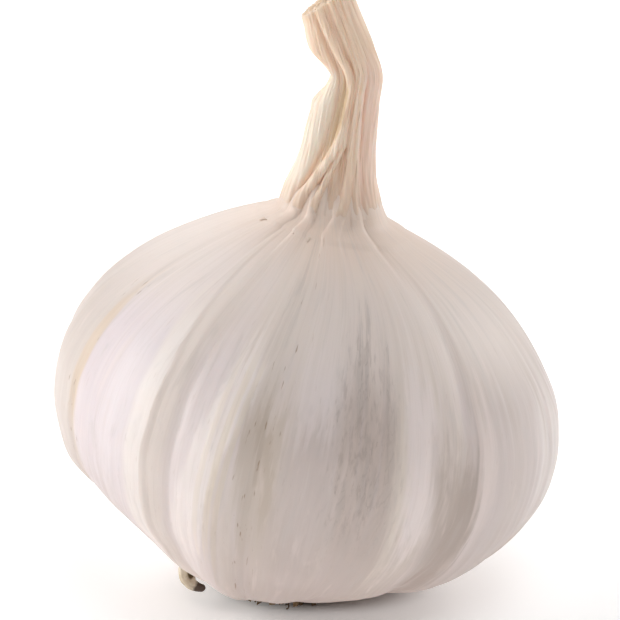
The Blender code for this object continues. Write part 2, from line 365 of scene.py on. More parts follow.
def make_axis():
    """Heights along the axis, and the points there, starting below the root plate."""
    steps = np.arange(0, AXIS_END, AXIS_STEP)
    leans = np.radians(eased(LEANS, steps + AXIS_STEP / 2))
    along = np.stack((np.sin(leans), np.zeros_like(leans), np.cos(leans)), axis=1) * AXIS_STEP
    points = np.vstack(([0, 0, 0], np.cumsum(along, axis=0))) + np.array(AXIS_START)
    below = points[0] - along[0] / AXIS_STEP * 20 * MM
    heights = np.append(steps, steps[-1] + AXIS_STEP)
    return np.append(-20 * MM, heights), np.vstack((below, points))


AXIS_HEIGHTS, AXIS_POINTS = make_axis()


def placed(radius, angle, height):
    """Points at this radius, angle in degrees and height round the bent axis, as rows of x, y, z."""
    tilt, turn = np.radians(eased(TILTS, height)), np.radians(angle)
    across = radius * np.sin(turn)
    centre = [np.interp(height, AXIS_HEIGHTS, AXIS_POINTS[:, i]) for i in range(3)]
    x = centre[0] + across * np.cos(tilt)
    y = centre[1] - radius * np.cos(turn)
    z = centre[2] - across * np.sin(tilt)
    return np.stack((x, y, z), axis=1)


print("axis top in mm:", [round(float(v) * 1000, 1) for v in AXIS_POINTS[-1]])

# %% [markdown]
# ## The plain outline
#
# Under its lobes the head is a turned shape: an ellipse below the waist, a shoulder that runs in more
# steeply, and a neck that flares into it. One formula gives the radius at any height, so the skin and
# the neck made later meet without fitting.

# %% The radius of the plain head
WAIST_RADIUS = 51.4 * MM
WAIST_HEIGHT = 36.0 * MM
BELLY_DEPTH = 38.5 * MM
SHOULDER_RISE = 42.0 * MM
SHOULDER_POWER = 1.4
RIM_ANGLE = math.radians(20.8)
HOLLOW_RADIUS = 15.4 * MM
HOLLOW_DEPTH = 4.0 * MM
NECK_RADIUS = 6.1 * MM
NECK_FLARE = 6.4 * MM
FLARE_FADE = 9.0 * MM
FLARE_HEIGHT = 74.0 * MM
NECK_TOP = 120.0 * MM
TIP_NARROWING = 0.6 * MM
TIP_START = 109.0 * MM
BLEND_POWER = 7


def head_radius(height):
    height = np.asarray(height, float)
    flare = NECK_FLARE * np.exp(-np.maximum(height - FLARE_HEIGHT, 0) / FLARE_FADE)
    neck = NECK_RADIUS + flare - eased(((TIP_START, 0.0), (NECK_TOP, TIP_NARROWING)), height)
    drop = np.clip((WAIST_HEIGHT - height) / BELLY_DEPTH, 0, 1)
    rise = np.clip((height - WAIST_HEIGHT) / SHOULDER_RISE, 0, 1)
    shoulder = WAIST_RADIUS * (1 - rise**2) ** (SHOULDER_POWER / 2)
    upper = (shoulder**BLEND_POWER + neck**BLEND_POWER) ** (1 / BLEND_POWER)
    return np.where(height < WAIST_HEIGHT, WAIST_RADIUS * np.sqrt(1 - drop**2), upper)


print("radius in mm at the waist:", round(float(head_radius(WAIST_HEIGHT)) * 1000, 1))

# %% [markdown]
# ## Lobes, creases and pleats
#
# What makes the head look like garlic from a step away is its relief. Each clove pushes its skin out
# into a lobe with a furrow on both sides, and its ridge stands nearer to one of them, so one side is
# steeper. The left of the foot is tucked in, and some lobes sag a little lower than others. All of it
# is worked out from the angle and height of a point.

# %% The lobes
CLOVES = (
    # angle of the furrow on its left, angle of its ridge, depth of that furrow
    (-66.0, -38.4, 1.2 * MM),
    (-31.0, -18.0, 1.5 * MM),
    (-11.5, 0.0, 1.4 * MM),
    (11.0, 26.0, 0.8 * MM),
    (36.5, 46.0, 2.2 * MM),
    (68.0, 84.0, 1.1 * MM),
    (98.0, 112.0, 1.6 * MM),
    (124.0, 143.0, 1.5 * MM),
    (156.0, 170.0, 2.3 * MM),
    (182.0, 199.0, 1.6 * MM),
    (212.0, 224.0, 2.5 * MM),
    (238.0, 253.0, 1.4 * MM),
    (266.0, 281.0, 2.2 * MM),
)
FURROW_SHARE = (
    (0.0, 0.2),
    (5.0 * MM, 0.7),
    (16.0 * MM, 0.85),
    (36.0 * MM, 0.75),
    (52.0 * MM, 0.30),
    (66.0 * MM, 0.06),
    (74.0 * MM, 0.0),
)
FURROW_ROUNDNESS = 0.85
TUCK_ANGLE = -78.0
TUCK_SPREAD = 70.0
TUCK_DEPTH = 3.0 * MM
TUCK_SHARE = ((0.0, 0.9), (6.5 * MM, 1.25), (21.0 * MM, 0.0))
SAG_SHARE = ((0.0, 1.0), (5.0 * MM, 0.9), (13.0 * MM, 0.0))
FOOT_SAG = (
    # angle, how far the foot of the lobe there hangs lower than the plain outline
    (-100.0, 0.0),
    (-64.0, -0.2 * MM),
    (-50.0, 0.5 * MM),
    (-32.0, 1.2 * MM),
    (-18.0, 1.4 * MM),
    (0.0, 0.3 * MM),
    (14.0, -0.5 * MM),
    (40.0, -2.0 * MM),
    (62.0, -2.0 * MM),
    (92.0, 0.3 * MM),
    (135.0, 0.0),
)


def away(angle, centre):
    """The signed turn from centre to angle, from -180 to 180 degrees."""
    return (angle - centre + 180.0) % 360.0 - 180.0


def furrow_depth(angle, height):
    """How far the skin lies below the ridges of the cloves."""
    depth = np.zeros_like(angle)
    for i, (left, ridge, left_depth) in enumerate(CLOVES):
        right, _, right_depth = CLOVES[(i + 1) % len(CLOVES)]
        right += 360.0 if i == len(CLOVES) - 1 else 0.0
        turn = (angle - left) % 360.0
        on_left, on_right = turn < ridge - left, (turn >= ridge - left) & (turn < right - left)
        for side, rise, deep in (
            (on_left, turn / (ridge - left), left_depth),
            (on_right, (right - left - turn) / (right - ridge), right_depth),
        ):
            share = np.sin(np.clip(rise, 0, 1) * math.pi / 2) ** FURROW_ROUNDNESS
            depth = np.where(side, deep * (1 - share), depth)
    tucked = np.cos(np.minimum(abs(away(angle, TUCK_ANGLE)) / TUCK_SPREAD, 1.0) * math.pi / 2) ** 2
    depth = depth * eased(FURROW_SHARE, height) + TUCK_DEPTH * tucked * eased(TUCK_SHARE, height)
    return depth - eased(FOOT_SAG, angle) * eased(SAG_SHARE, height)


furrow_angles = np.array([clove[0] for clove in CLOVES])
furrow_heights = np.full(len(CLOVES), 16 * MM)
print("furrows in mm:", np.round(furrow_depth(furrow_angles, furrow_heights) / MM, 1))

# %% [markdown]
# ## Edges, ribs and waviness
#
# The outer skins are torn off here and there, so one ends on top of another in a crisp step that wanders
# from root to neck. The ribs are the veins of the skin. In front both are placed where the photo shows
# them, and round the back the ribs are drawn at random. A slow waviness goes over both. The guide lines
# say which way the skin runs between the steps, so that streaks of colour follow them.

# %% Skin edges, ribs and waviness
CREASE_HEIGHTS = np.array((8.0, 30.0, 50.0, 68.0)) * MM
SKIN_EDGES = (
    # angle at each crease height, step in mm, and which side the upper skin lies on (-1 left)
    ((-66.0, -66.5, -67.0, -69.0), 0.30, -1),
    ((-36.0, -36.8, -37.3, -42.0), 0.36, -1),
    ((-19.0, -18.2, -17.2, -15.5), 0.38, -1),
    ((22.0, 22.2, 20.6, 18.5), 0.30, 1),
    ((39.0, 40.2, 39.8, 39.5), 0.34, 1),
    ((72.0, 71.0, 72.0, 75.0), 0.35, 1),
    ((101.0, 100.0, 99.0, 96.0), 0.45, 1),
    ((127.0, 128.0, 127.0, 124.0), 0.35, -1),
    ((158.0, 157.0, 158.0, 161.0), 0.50, 1),
    ((186.0, 185.0, 184.0, 186.0), 0.35, -1),
    ((214.0, 215.0, 216.0, 214.0), 0.45, -1),
    ((242.0, 241.0, 240.0, 243.0), 0.30, 1),
)
SKIN_RIBS = (
    # angle at each crease height, half width in degrees, height in mm
    ((-61.0, -61.5, -62.0, -62.0), 1.2, 0.14),
    ((-55.0, -55.0, -54.0, -52.0), 1.6, 0.12),
    ((-48.0, -47.5, -47.0, -46.0), 1.3, 0.10),
    ((-31.0, -32.2, -34.0, -38.0), 1.0, 0.20),
    ((-27.5, -27.5, -28.5, -31.0), 1.4, 0.14),
    ((-24.0, -23.2, -21.8, -19.0), 0.9, 0.22),
    ((-21.8, -20.6, -19.9, -17.5), 0.8, 0.24),
    ((-14.0, -13.0, -11.0, -14.0), 0.9, 0.10),
    ((-7.0, -6.0, -7.5, -10.0), 1.2, 0.12),
    ((-1.0, -0.5, -1.0, -3.0), 1.5, 0.12),
    ((5.0, 5.0, 3.5, 2.0), 1.0, 0.12),
    ((9.0, 9.5, 8.5, 7.0), 1.0, 0.14),
    ((16.5, 17.0, 15.5, 16.5), 0.9, 0.20),
    ((25.0, 25.5, 24.0, 22.5), 1.0, 0.16),
    ((30.0, 29.5, 29.0, 30.0), 1.4, 0.16),
    ((34.0, 34.5, 34.0, 34.0), 1.0, 0.12),
    ((46.0, 47.0, 46.0, 45.0), 1.3, 0.14),
    ((53.0, 54.0, 54.0, 52.0), 1.5, 0.12),
    ((62.0, 61.0, 61.0, 63.0), 1.2, 0.14),
)
RIB_SEED = 11
BACK_RIBS = 34
BACK_START = 68.0
BACK_END = 292.0
EDGE_FADE = 6.0
EDGE_WIDTH = 0.8
RIPPLES = 26
RIPPLE_HEIGHT = 0.012 * MM
SWELL_HEIGHT = 0.24 * MM
SWELLS = ((3, 0.4, 55), (5, 2.1, 80), (7, 4.0, 110), (9, 1.2, 70))
RIB_SHARE = 0.38
SKIN_FADE = ((2 * MM, 0.0), (12 * MM, 1.0), (42 * MM, 1.0), (60 * MM, 0.45), (74 * MM, 0.12))
GUIDES = (
    # angle at each crease height of the lines that the streaks of the skin keep between
    (-95.0,) * 4,
    *(edge[0] for edge in SKIN_EDGES[:3]),
    (5.0, 5.0, 4.0, 3.0),
    *(edge[0] for edge in SKIN_EDGES[3:5]),
    (95.0,) * 4,
)


def back_ribs():
    """Ribs for the back and sides, drawn at random with the same spread of sizes."""
    draw = np.random.default_rng(RIB_SEED)
    rows = []
    for i in range(BACK_RIBS):
        angle = BACK_START + (BACK_END - BACK_START) * (i + draw.uniform(-0.3, 0.3)) / BACK_RIBS
        drift = draw.uniform(-2.5, 2.5, 2)
        angles = (angle + drift[0], angle, angle - drift[0] / 2, angle + drift[1])
        rows.append((angles, draw.uniform(0.8, 1.6), draw.uniform(0.08, 0.22)))
    return rows


def crease_angle(angles, height):
    return np.interp(height, CREASE_HEIGHTS, angles)


def follow(angle, height, lines, places, nominal):
    """The angle that each point's strand of skin has at one nominal row of the guide lines."""
    strand = angle.copy()
    for left, right in zip(lines, lines[1:]):
        low, high = np.interp(height, places, left), np.interp(height, places, right)
        share = (angle - low) / (high - low)
        along = left[nominal] + share * (right[nominal] - left[nominal])
        strand = np.where((angle >= low) & (angle < high), along, strand)
    return strand


def skin_rise(angle, height):
    """How far the edges, ribs, ripples and swell stand out of the lobes, in metres."""
    rise = np.zeros_like(angle)
    for angles, step, side in SKIN_EDGES:
        over = away(angle, crease_angle(angles, height)) * side
        rise += step * MM * np.clip(over / EDGE_WIDTH + 0.5, 0, 1) * np.exp(-np.maximum(over, 0) / EDGE_FADE)
    for angles, half_width, tall in SKIN_RIBS + tuple(back_ribs()):
        across = away(angle, crease_angle(angles, height)) / half_width
        rise += tall * RIB_SHARE * MM * np.exp(-(across**2))
    draw = np.random.default_rng(RIB_SEED + 1)
    turn = np.radians(angle)
    for i in range(RIPPLES):
        waves, phase, drift = int(draw.integers(60, 118)), draw.uniform(0, 6.28), draw.uniform(-25, 25)
        rise += RIPPLE_HEIGHT * np.sin(waves * turn + phase + drift * height / (100 * MM)) / math.sqrt(6)
    for waves, phase, climb in SWELLS:
        rise += SWELL_HEIGHT / 4 * np.sin(waves * turn + phase) * np.sin(climb * height / (1000 * MM) * 6.28)
    return rise * eased(SKIN_FADE, height)


print("skin edges:", len(SKIN_EDGES), "ribs:", len(SKIN_RIBS) + BACK_RIBS)

# %% [markdown]
# ## Pleats and the pinch
#
# The neck is a bundle of dry leaf ends pressed into pleats. Each pleat is a round ridge whose angle
# wanders with height, and the highest one at a point wins, so the valleys between them are sharp. At
# the left, where the neck folds over, it is pinched in.

# %% The pleats and the pinch of the neck
PLEAT_HEIGHTS = np.array((75.0, 81.0, 86.0, 91.0, 96.0, 102.0, 109.0, 120.0)) * MM
PLEATS = (
    # angle at each pleat height, half width in degrees, height in mm
    ((-84.0, -78.0, -70.0, -62.0, -56.0, -52.0, -58.0, -64.0), 27.0, 1.9),
    ((-56.0, -43.0, -26.0, -7.0, 2.0, 5.0, -8.0, -22.0), 10.0, 1.6),
    ((-30.0, -22.0, -10.0, 6.0, 9.0, 12.0, 14.0, 10.0), 6.0, 1.1),
    ((-4.0, 17.0, 22.0, 19.0, 17.0, 15.0, 22.0, 24.0), 7.5, 1.3),
    ((24.0, 32.0, 33.0, 31.0, 29.0, 27.0, 34.0, 38.0), 8.0, 1.2),
    ((58.0, 60.0, 62.0, 64.0, 64.0, 60.0, 58.0, 62.0), 24.0, 1.9),
    ((94.0, 92.0, 91.0, 90.0, 92.0, 94.0, 92.0, 90.0), 15.0, 1.2),
    ((124.0, 122.0, 120.0, 121.0, 122.0, 118.0, 119.0, 122.0), 19.0, 1.6),
    ((158.0, 156.0, 155.0, 156.0, 154.0, 152.0, 154.0, 156.0), 17.0, 1.3),
    ((194.0, 192.0, 191.0, 190.0, 192.0, 190.0, 188.0, 190.0), 20.0, 1.7),
    ((232.0, 230.0, 229.0, 228.0, 230.0, 228.0, 226.0, 228.0), 17.0, 1.3),
    ((262.0, 260.0, 262.0, 263.0, 262.0, 260.0, 262.0, 264.0), 15.0, 1.5),
)
PLEAT_SHARE = (
    (68.0 * MM, 0.0),
    (76.0 * MM, 0.48),
    (83.0 * MM, 0.9),
    (89.0 * MM, 1.0),
    (106.0 * MM, 0.9),
    (113.0 * MM, 0.55),
    (123.0 * MM, 0.5),
)
PLEAT_SINK = 0.93 * MM
WRINKLES = 18
WRINKLE_HEIGHT = 0.11 * MM
PINCH_ANGLE = -88.0
PINCH_SPREAD = 75.0
PINCH_HEIGHT = 104.3 * MM
PINCH_REACH = 5.4 * MM
PINCH_DEPTH = 4.6 * MM
NECK_FLATNESS = 0.86
CUT_SLOPE = math.tan(math.radians(30))
CUT_START = 111.0 * MM
WRINKLE_FADE = ((74 * MM, 0.0), (82 * MM, 1.0))
FLAT_FADE = ((84 * MM, 0.0), (98 * MM, 1.0))


def pleat_rise(angle, height):
    """How far the pleats of the neck stand out, and the valleys between them stand in."""
    rise = np.zeros_like(angle)
    for angles, half_width, tall in PLEATS:
        u = away(angle, np.interp(height, PLEAT_HEIGHTS, angles)) / half_width
        rise = np.maximum(rise, tall * MM * np.sqrt(np.clip(1 - u * u, 0, 1)))
    return (rise - PLEAT_SINK) * eased(PLEAT_SHARE, height)


def wrinkle_rise(angle, height):
    """Fine lengthwise wrinkles of the dried neck."""
    draw = np.random.default_rng(RIB_SEED + 2)
    rise = np.zeros_like(angle)
    for i in range(WRINKLES):
        waves, phase, drift = int(draw.integers(14, 62)), draw.uniform(0, 6.28), draw.uniform(-6, 6)
        rise += np.sin(waves * np.radians(angle) + phase + drift * height / (10 * MM))
    return rise / math.sqrt(WRINKLES) * WRINKLE_HEIGHT * eased(WRINKLE_FADE, height)


def pinch_depth(angle, height):
    """How far the neck is pressed in where it folds over."""
    along = np.minimum(abs(height - PINCH_HEIGHT) / PINCH_REACH, 1)
    round_it = np.minimum(abs(away(angle, PINCH_ANGLE)) / PINCH_SPREAD, 1)
    return PINCH_DEPTH * (1 - along) ** 1.4 * np.cos(round_it * math.pi / 2) ** 2


def neck_placed(radius, angle, height):
    """The neck is a little flatter from front to back, and its end is cut on a slant."""
    turn = np.radians(angle)
    flat = 1 - (1 - NECK_FLATNESS) * eased(FLAT_FADE, height)
    across, back = radius * np.sin(turn), radius * np.cos(turn) * flat
    height = height + CUT_SLOPE * across * eased(((CUT_START, 0.0), (NECK_TOP, 1.0)), height)
    return placed(np.hypot(across, back), np.degrees(np.arctan2(across, back)), height)


print("pleats:", len(PLEATS))

# %% [markdown]
# ## Turning a piece
#
# By hand, a turned piece starts as a single point: a plane merged to one vertex. That vertex is extruded
# along the outline, and the outline is swept round the upright axis. A spin in edit mode would do it,
# but it slows down with every step, so a Screw modifier makes the hundreds of steps and is applied.
# Its merge closes the seam and the poles, and the faces are turned outwards after it.

# %% A helper that turns an outline
MERGE = 0.002 * MM


def turned(name, outline, steps):
    """A closed turned mesh from (radius, height) points, each extruded from the one before."""
    deselect_all()
    radius, height = outline[0]
    bpy.ops.mesh.primitive_plane_add(size=MM, location=(0, 0, 0))
    piece = bpy.context.object
    piece.name = name
    bpy.ops.object.mode_set(mode="EDIT")
    bpy.ops.mesh.select_all(action="SELECT")
    bpy.ops.mesh.merge(type="CENTER")
    bpy.ops.transform.translate(value=(radius, 0, height))
    for (r0, h0), (r1, h1) in zip(outline, outline[1:]):
        bpy.ops.mesh.extrude_region_move(TRANSFORM_OT_translate={"value": (r1 - r0, 0, h1 - h0)})
    bpy.ops.object.mode_set(mode="OBJECT")
    bpy.ops.object.modifier_add(type="SCREW")
    sweep = piece.modifiers[-1]
    sweep.steps = sweep.render_steps = steps
    sweep.use_merge_vertices = True
    sweep.merge_threshold = MERGE
    bpy.ops.object.modifier_apply(modifier=sweep.name)
    bpy.ops.object.mode_set(mode="EDIT")
    bpy.ops.mesh.select_all(action="SELECT")
    bpy.ops.mesh.remove_doubles(threshold=MERGE)
    bpy.ops.mesh.normals_make_consistent(inside=False)
    bpy.ops.object.mode_set(mode="OBJECT")
    bpy.ops.object.shade_smooth()
    return piece


# %% Helpers that read and write the points of a mesh
def read_vectors(piece, kind="co"):
    """The places or the normals of the vertices, as rows of x, y, z."""
    values = np.zeros(len(piece.data.vertices) * 3)
    piece.data.vertices.foreach_get(kind, values)
    return values.reshape(-1, 3)


def read_points(piece):
    """The angle in degrees, the radius and the height of each vertex of a turned piece."""
    x, y, height = read_vectors(piece).T
    return np.degrees(np.arctan2(y, x)), np.hypot(x, y), height


def read_facing(piece):
    """How much each vertex of a turned piece faces outwards, and how much it faces up."""
    places, normals = read_vectors(piece), read_vectors(piece, "normal")
    radius = np.hypot(places[:, 0], places[:, 1])
    out = (places[:, 0] * normals[:, 0] + places[:, 1] * normals[:, 1]) / np.maximum(radius, 1e-9)
    return out, normals[:, 2]


def write_points(piece, places):
    piece.data.vertices.foreach_set("co", np.ascontiguousarray(places, float).ravel())
    piece.data.update()


def keep_values(piece, name, values, kind="FLOAT", domain="POINT"):
    """Stores numbers on the mesh for its finish to read."""
    kept = piece.data.attributes.new(name, kind, domain)
    kept.data.foreach_set("vector" if kind == "FLOAT_VECTOR" else "value", np.asarray(values, float).ravel())


def keep_skin_map(piece, angle, height, strand):
    """Stores the strand and height of each point, and a vector that has no seam, for the finishes."""
    corners = np.zeros(len(piece.data.loops), int)
    piece.data.loops.foreach_get("vertex_index", corners)
    starts, totals = (np.zeros(len(piece.data.polygons), int) for _ in range(2))
    piece.data.polygons.foreach_get("loop_start", starts)
    piece.data.polygons.foreach_get("loop_total", totals)
    face_of = np.repeat(np.arange(len(totals)), totals)
    around = strand[corners]
    low, high = np.full(len(totals), 360.0), np.full(len(totals), -360.0)
    np.minimum.at(low, face_of, around)
    np.maximum.at(high, face_of, around)
    wraps = (high - low > 180)[face_of] & (around < 0)
    keep_values(piece, "strand", around + 360.0 * wraps, domain="CORNER")
    keep_values(piece, "height", height / MM)
    turn = np.radians(angle)
    grain = np.stack((np.cos(turn), np.sin(turn), height / (100 * MM)), 1)
    keep_values(piece, "grain", grain, "FLOAT_VECTOR")


def report_piece(piece):
    piece.data.calc_loop_triangles()
    print(piece.name, "triangles:", len(piece.data.loop_triangles))


# %% [markdown]
# ## The skin
#
# The skin is one turned shape with about as many faces as one piece may have, because its lobes, ribs
# and skin edges are real relief and not only a bump. It closes under the root plate in the same round
# hollow as the solid, and runs on up inside the dried neck, where nothing shows.

# %% The outline of the skin, turned and shaped
SKIN_STEPS = 500
BELLY_POINTS = 84
SHOULDER_POINTS = 92
SKIN_TOP = 84 * MM
SKIN_INSET = 0.9 * MM
SKIN_CLEAR = 0.3 * MM
GROUND_CLEAR = 0.05 * MM


def skin_outline():
    turns = np.linspace(RIM_ANGLE, math.pi / 2, BELLY_POINTS)
    belly = [(WAIST_RADIUS * math.sin(t), WAIST_HEIGHT - BELLY_DEPTH * math.cos(t)) for t in turns]
    rim_radius, rim_height = belly[0]
    hollow = [
        (0.0, HOLLOW_DEPTH),
        (HOLLOW_RADIUS, HOLLOW_DEPTH),
        (HOLLOW_RADIUS, rim_height + 0.9 * MM),
        (HOLLOW_RADIUS * 0.6 + rim_radius * 0.4, rim_height + 0.2 * MM),
        (HOLLOW_RADIUS * 0.2 + rim_radius * 0.8, rim_height - 0.02 * MM),
    ]
    share = np.linspace(0, 1, SHOULDER_POINTS)[1:]
    rise = SHOULDER_RISE * np.sin(share * math.pi / 2)
    shoulder = [(float(head_radius(WAIST_HEIGHT + up)), WAIST_HEIGHT + up) for up in rise]
    top = [(float(head_radius(SKIN_TOP)) - SKIN_INSET, SKIN_TOP), (0.0, SKIN_TOP)]
    return hollow + belly + shoulder + top


def shape_skin(piece):
    angle, radius, height = read_points(piece)
    out, up = read_facing(piece)
    sunk = furrow_depth(angle, height)
    on_skin = (radius > HOLLOW_RADIUS + 0.2 * MM) & (height < SKIN_TOP - MM)
    inward = np.where(on_skin, sunk - skin_rise(angle, height) + SKIN_CLEAR, 0.0)
    radius, raised = radius - inward * out, height - inward * up
    neck = pleat_rise(angle, raised) * np.minimum(radius / NECK_RADIUS, 1.0)
    radius = radius + np.where(raised > PLEAT_SHARE[0][0], neck, 0.0)
    places = placed(radius, angle, raised)
    places[:, 2] = np.maximum(places[:, 2], GROUND_CLEAR)
    write_points(piece, places)
    keep_skin_map(piece, angle, height, follow(angle, height, GUIDES, CREASE_HEIGHTS, 1))
    keep_values(piece, "sunk", sunk / MM)


skin = turned("skin", skin_outline(), SKIN_STEPS)
shape_skin(skin)
report_piece(skin)

# %% [markdown]
# ## The dried neck
#
# Above the cloves the skins dry together into a neck of pleats, creased over where it bends, and torn
# at its foot where the outermost skin has come away. It is a second turned piece, so it can have finer
# faces than the skin. Its foot runs in under the skin of the shoulder along a ragged line, so the two
# meet without a step, and its cut end shows the rolled layers.

# %% The outline of the neck, turned and shaped
NECK_STEPS = 380
NECK_RINGS = 210
HEM_HEIGHT = 75.6 * MM
HEM_SINK = 0.45 * MM
HEM_BLEND = 5.0 * MM
HEM_SEED = 5
HEM_TEETH = 90
HEM_REACH = 9 * MM
CUT_LAYERS = 4
CUT_DEPTH = 0.5 * MM
CUT_RAGGED = 1.6
NECK_SLIM = ((80 * MM, 0.0), (90 * MM, 0.45 * MM), (104 * MM, 0.45 * MM), (112 * MM, 0.09 * MM))


def neck_outline():
    """From the middle, under the foot, up the outside, and back over the rolled layers of the cut."""
    foot = float(head_radius(HEM_HEIGHT))
    points = [(0.0, HEM_HEIGHT + 3 * MM), (foot * 0.6, HEM_HEIGHT + 2 * MM), (foot - 1.0 * MM, HEM_HEIGHT)]
    for share in np.linspace(0, 1, NECK_RINGS):
        height = HEM_HEIGHT + (NECK_TOP - HEM_HEIGHT) * share
        points.append((float(head_radius(height)), height))
    rim = points[-1][0]
    for layer in range(CUT_LAYERS):
        outer = rim * (1 - layer / CUT_LAYERS)
        wall = rim / CUT_LAYERS
        points.append((outer - wall * 0.30, NECK_TOP - 0.05 * MM * layer))
        points.append((outer - wall * 0.42, NECK_TOP - CUT_DEPTH))
        points.append((outer - wall * 0.80, NECK_TOP - CUT_DEPTH * 0.9))
        points.append((outer - wall * 0.95, NECK_TOP - 0.1 * MM * (layer + 1)))
    return points + [(0.0, NECK_TOP - 0.45 * MM)]


def hem_shift(angle):
    """How far up or down the ragged foot of the neck is torn at each angle."""
    draw = np.random.default_rng(HEM_SEED)
    shift = 0.8 * MM * np.sin(np.radians(angle) - 0.7)
    for i in range(HEM_TEETH):
        centre, half_width, tall = draw.uniform(-180, 180), draw.uniform(1.5, 5), draw.uniform(-1.4, 1.2)
        shift += tall * MM * np.clip(1 - abs(away(angle, centre)) / half_width, 0, 1)
    return shift


def shape_neck(piece):
    angle, radius, height = read_points(piece)
    lift = radius - head_radius(height)
    shift = hem_shift(angle)
    height = height + shift * eased(((HEM_HEIGHT, 1.0), (HEM_HEIGHT + HEM_REACH, 0.0)), height)
    surface = head_radius(height)
    inside = np.clip(-lift / MM, 0, 1)
    sink = HEM_SINK * (1 - eased(((0.0, 0.0), (HEM_BLEND, 1.0)), height - (HEM_HEIGHT + shift)))
    wrinkles = wrinkle_rise(angle, height)
    rise = pleat_rise(angle, height) - eased(NECK_SLIM, height) + (wrinkles - sink) * (1 - inside)
    edge = np.minimum((surface + lift) / NECK_RADIUS, 1.0)
    radius = surface + lift + (rise - pinch_depth(angle, height)) * edge
    torn = wrinkles * CUT_RAGGED * eased(((NECK_TOP - 3 * MM, 0.0), (NECK_TOP, 1.0)), height)
    write_points(piece, neck_placed(np.maximum(radius, 0.0), angle, height - abs(torn)))
    lines = [row[0] for row in PLEATS if abs(row[0][3]) < 80]
    lines = [(-110.0,) * len(PLEAT_HEIGHTS)] + lines + [(110.0,) * len(PLEAT_HEIGHTS)]
    keep_skin_map(piece, angle, height, follow(angle, height, lines, PLEAT_HEIGHTS, 3))
    keep_values(piece, "sunk", (1.2 * MM - pleat_rise(angle, height)) / MM)
    keep_values(piece, "inside", inside)


neck = turned("dry_neck", neck_outline(), NECK_STEPS)
shape_neck(neck)
report_piece(neck)

# %% [markdown]
# ## The root plate
#
# Under the head is a corky disc, cracked from the middle outwards, with a pad on it where the roots
# grew. It is turned like the skin, and the pad, the cracks and the rings are pushed out of its flat
# face. It replaces the plain root plate, so the cut roots are made again on it by the same rule.

# %% The corky disc
PLATE_RADIUS = 14.9 * MM
PLATE_BOTTOM = -0.9 * MM
PLATE_TOP = 3.6 * MM
PAD_CENTRE = 4.2 * MM
PAD_RADIUS = 10.0 * MM
PAD_NARROWING = 1.6 * MM
PAD_BOTTOM = -5.4 * MM
DISC_STEPS = 240
DISC_RINGS = 70
CRACKS = 23
CRACK_DEPTH = 0.55 * MM
CRACK_SEED = 3


def from_axis(places):
    """Takes points from the head's own straight axis to the part's frame, at the root plate."""
    turn = math.radians(TILTS[0][1])
    x, y, z = places[:, 0], places[:, 1], places[:, 2]
    turned_x = x * math.cos(turn) + z * math.sin(turn)
    turned_z = z * math.cos(turn) - x * math.sin(turn)
    moved = np.stack((turned_x, y, turned_z), 1) + np.array(AXIS_START)
    moved[:, 2] = np.maximum(moved[:, 2], GROUND_CLEAR)
    return moved


def disc_outline():
    rim = PLATE_RADIUS * 0.985
    points = [(0.0, PLATE_TOP - 0.2 * MM), (rim * 0.95, PLATE_TOP - 0.2 * MM), (rim, PLATE_TOP - 0.8 * MM)]
    points += [(rim, 1.6 * MM), (rim * 0.995, 0.2 * MM)]
    for share in np.linspace(1, 0, DISC_RINGS):
        points.append((float(rim * 0.97 * share), PLATE_BOTTOM))
    return points


def crack_depth(angle, radius):
    """Cracks that run outwards, each a little crooked, and shallow rings between them."""
    draw = np.random.default_rng(CRACK_SEED)
    depth = np.zeros_like(angle)
    for i in range(CRACKS):
        centre, half_width = 360.0 * (i + draw.uniform(-0.3, 0.3)) / CRACKS - 180.0, draw.uniform(0.25, 0.7)
        bend, phase = draw.uniform(2, 7), draw.uniform(0, 6.28)
        path = centre + bend * np.sin(radius / MM * 0.9 + phase)
        across = away(angle, path) * np.radians(radius / MM)
        depth = np.maximum(depth, CRACK_DEPTH * np.exp(-(across / half_width) ** 2))
    rings = 0.12 * MM * np.sin(radius / MM * 5.0 + 1.5 * np.sin(np.radians(angle) * 3))
    return depth * np.clip(radius / (3 * MM), 0, 1) + rings


def shape_disc(piece):
    angle, radius, height = read_points(piece)
    x, y = radius * np.sin(np.radians(angle)), -radius * np.cos(np.radians(angle))
    under = height <= PLATE_BOTTOM + 0.01 * MM
    from_pad = np.hypot(x - PAD_CENTRE, y)
    pad = 1 - eased(((PAD_RADIUS - PAD_NARROWING, 0.0), (PAD_RADIUS, 1.0)), from_pad)
    cracks = crack_depth(angle, radius)
    height = height + np.where(under, pad * (PAD_BOTTOM - PLATE_BOTTOM) + cracks, 0.0)
    write_points(piece, from_axis(np.stack((x, y, height), 1)))
    keep_values(piece, "cracks", cracks / CRACK_DEPTH)


disc = turned("root_disc", disc_outline(), DISC_STEPS)
shape_disc(disc)
report_piece(disc)

# %% [markdown]
# ## The cut roots
#
# The roots were cut short when the head was dried. One root is made by hand: a short cylinder whose end
# is inset and pushed in, the way a dry root shrinks round its core, and cut across twice so it can
# bend. Its copies are placed in rings by the same seeded rule as in the solid, and joined into one
# piece.

# %% One root, and its copies
STUB_RINGS = (
    # how many, radius of the ring, splay in degrees, length
    (11, 6.6 * MM, 6.0, 2.6 * MM),
    (15, 9.4 * MM, 12.0, 2.2 * MM),
    (19, 11.8 * MM, 20.0, 1.9 * MM),
    (21, 13.7 * MM, 30.0, 1.5 * MM),
)
STUB_SIDES = 9
STUB_RADIUS = 0.85 * MM
STUB_TAPER = 0.6
STUB_SPREAD = 0.22
STUB_SINK = 1.6 * MM
STUB_CUTS = (0.4, 0.75)
RIM_WIDTH = 0.3
RIM_SINK = 0.12
CORE_INSET = 0.35
CORE_RISE = 0.08
SEED = 7


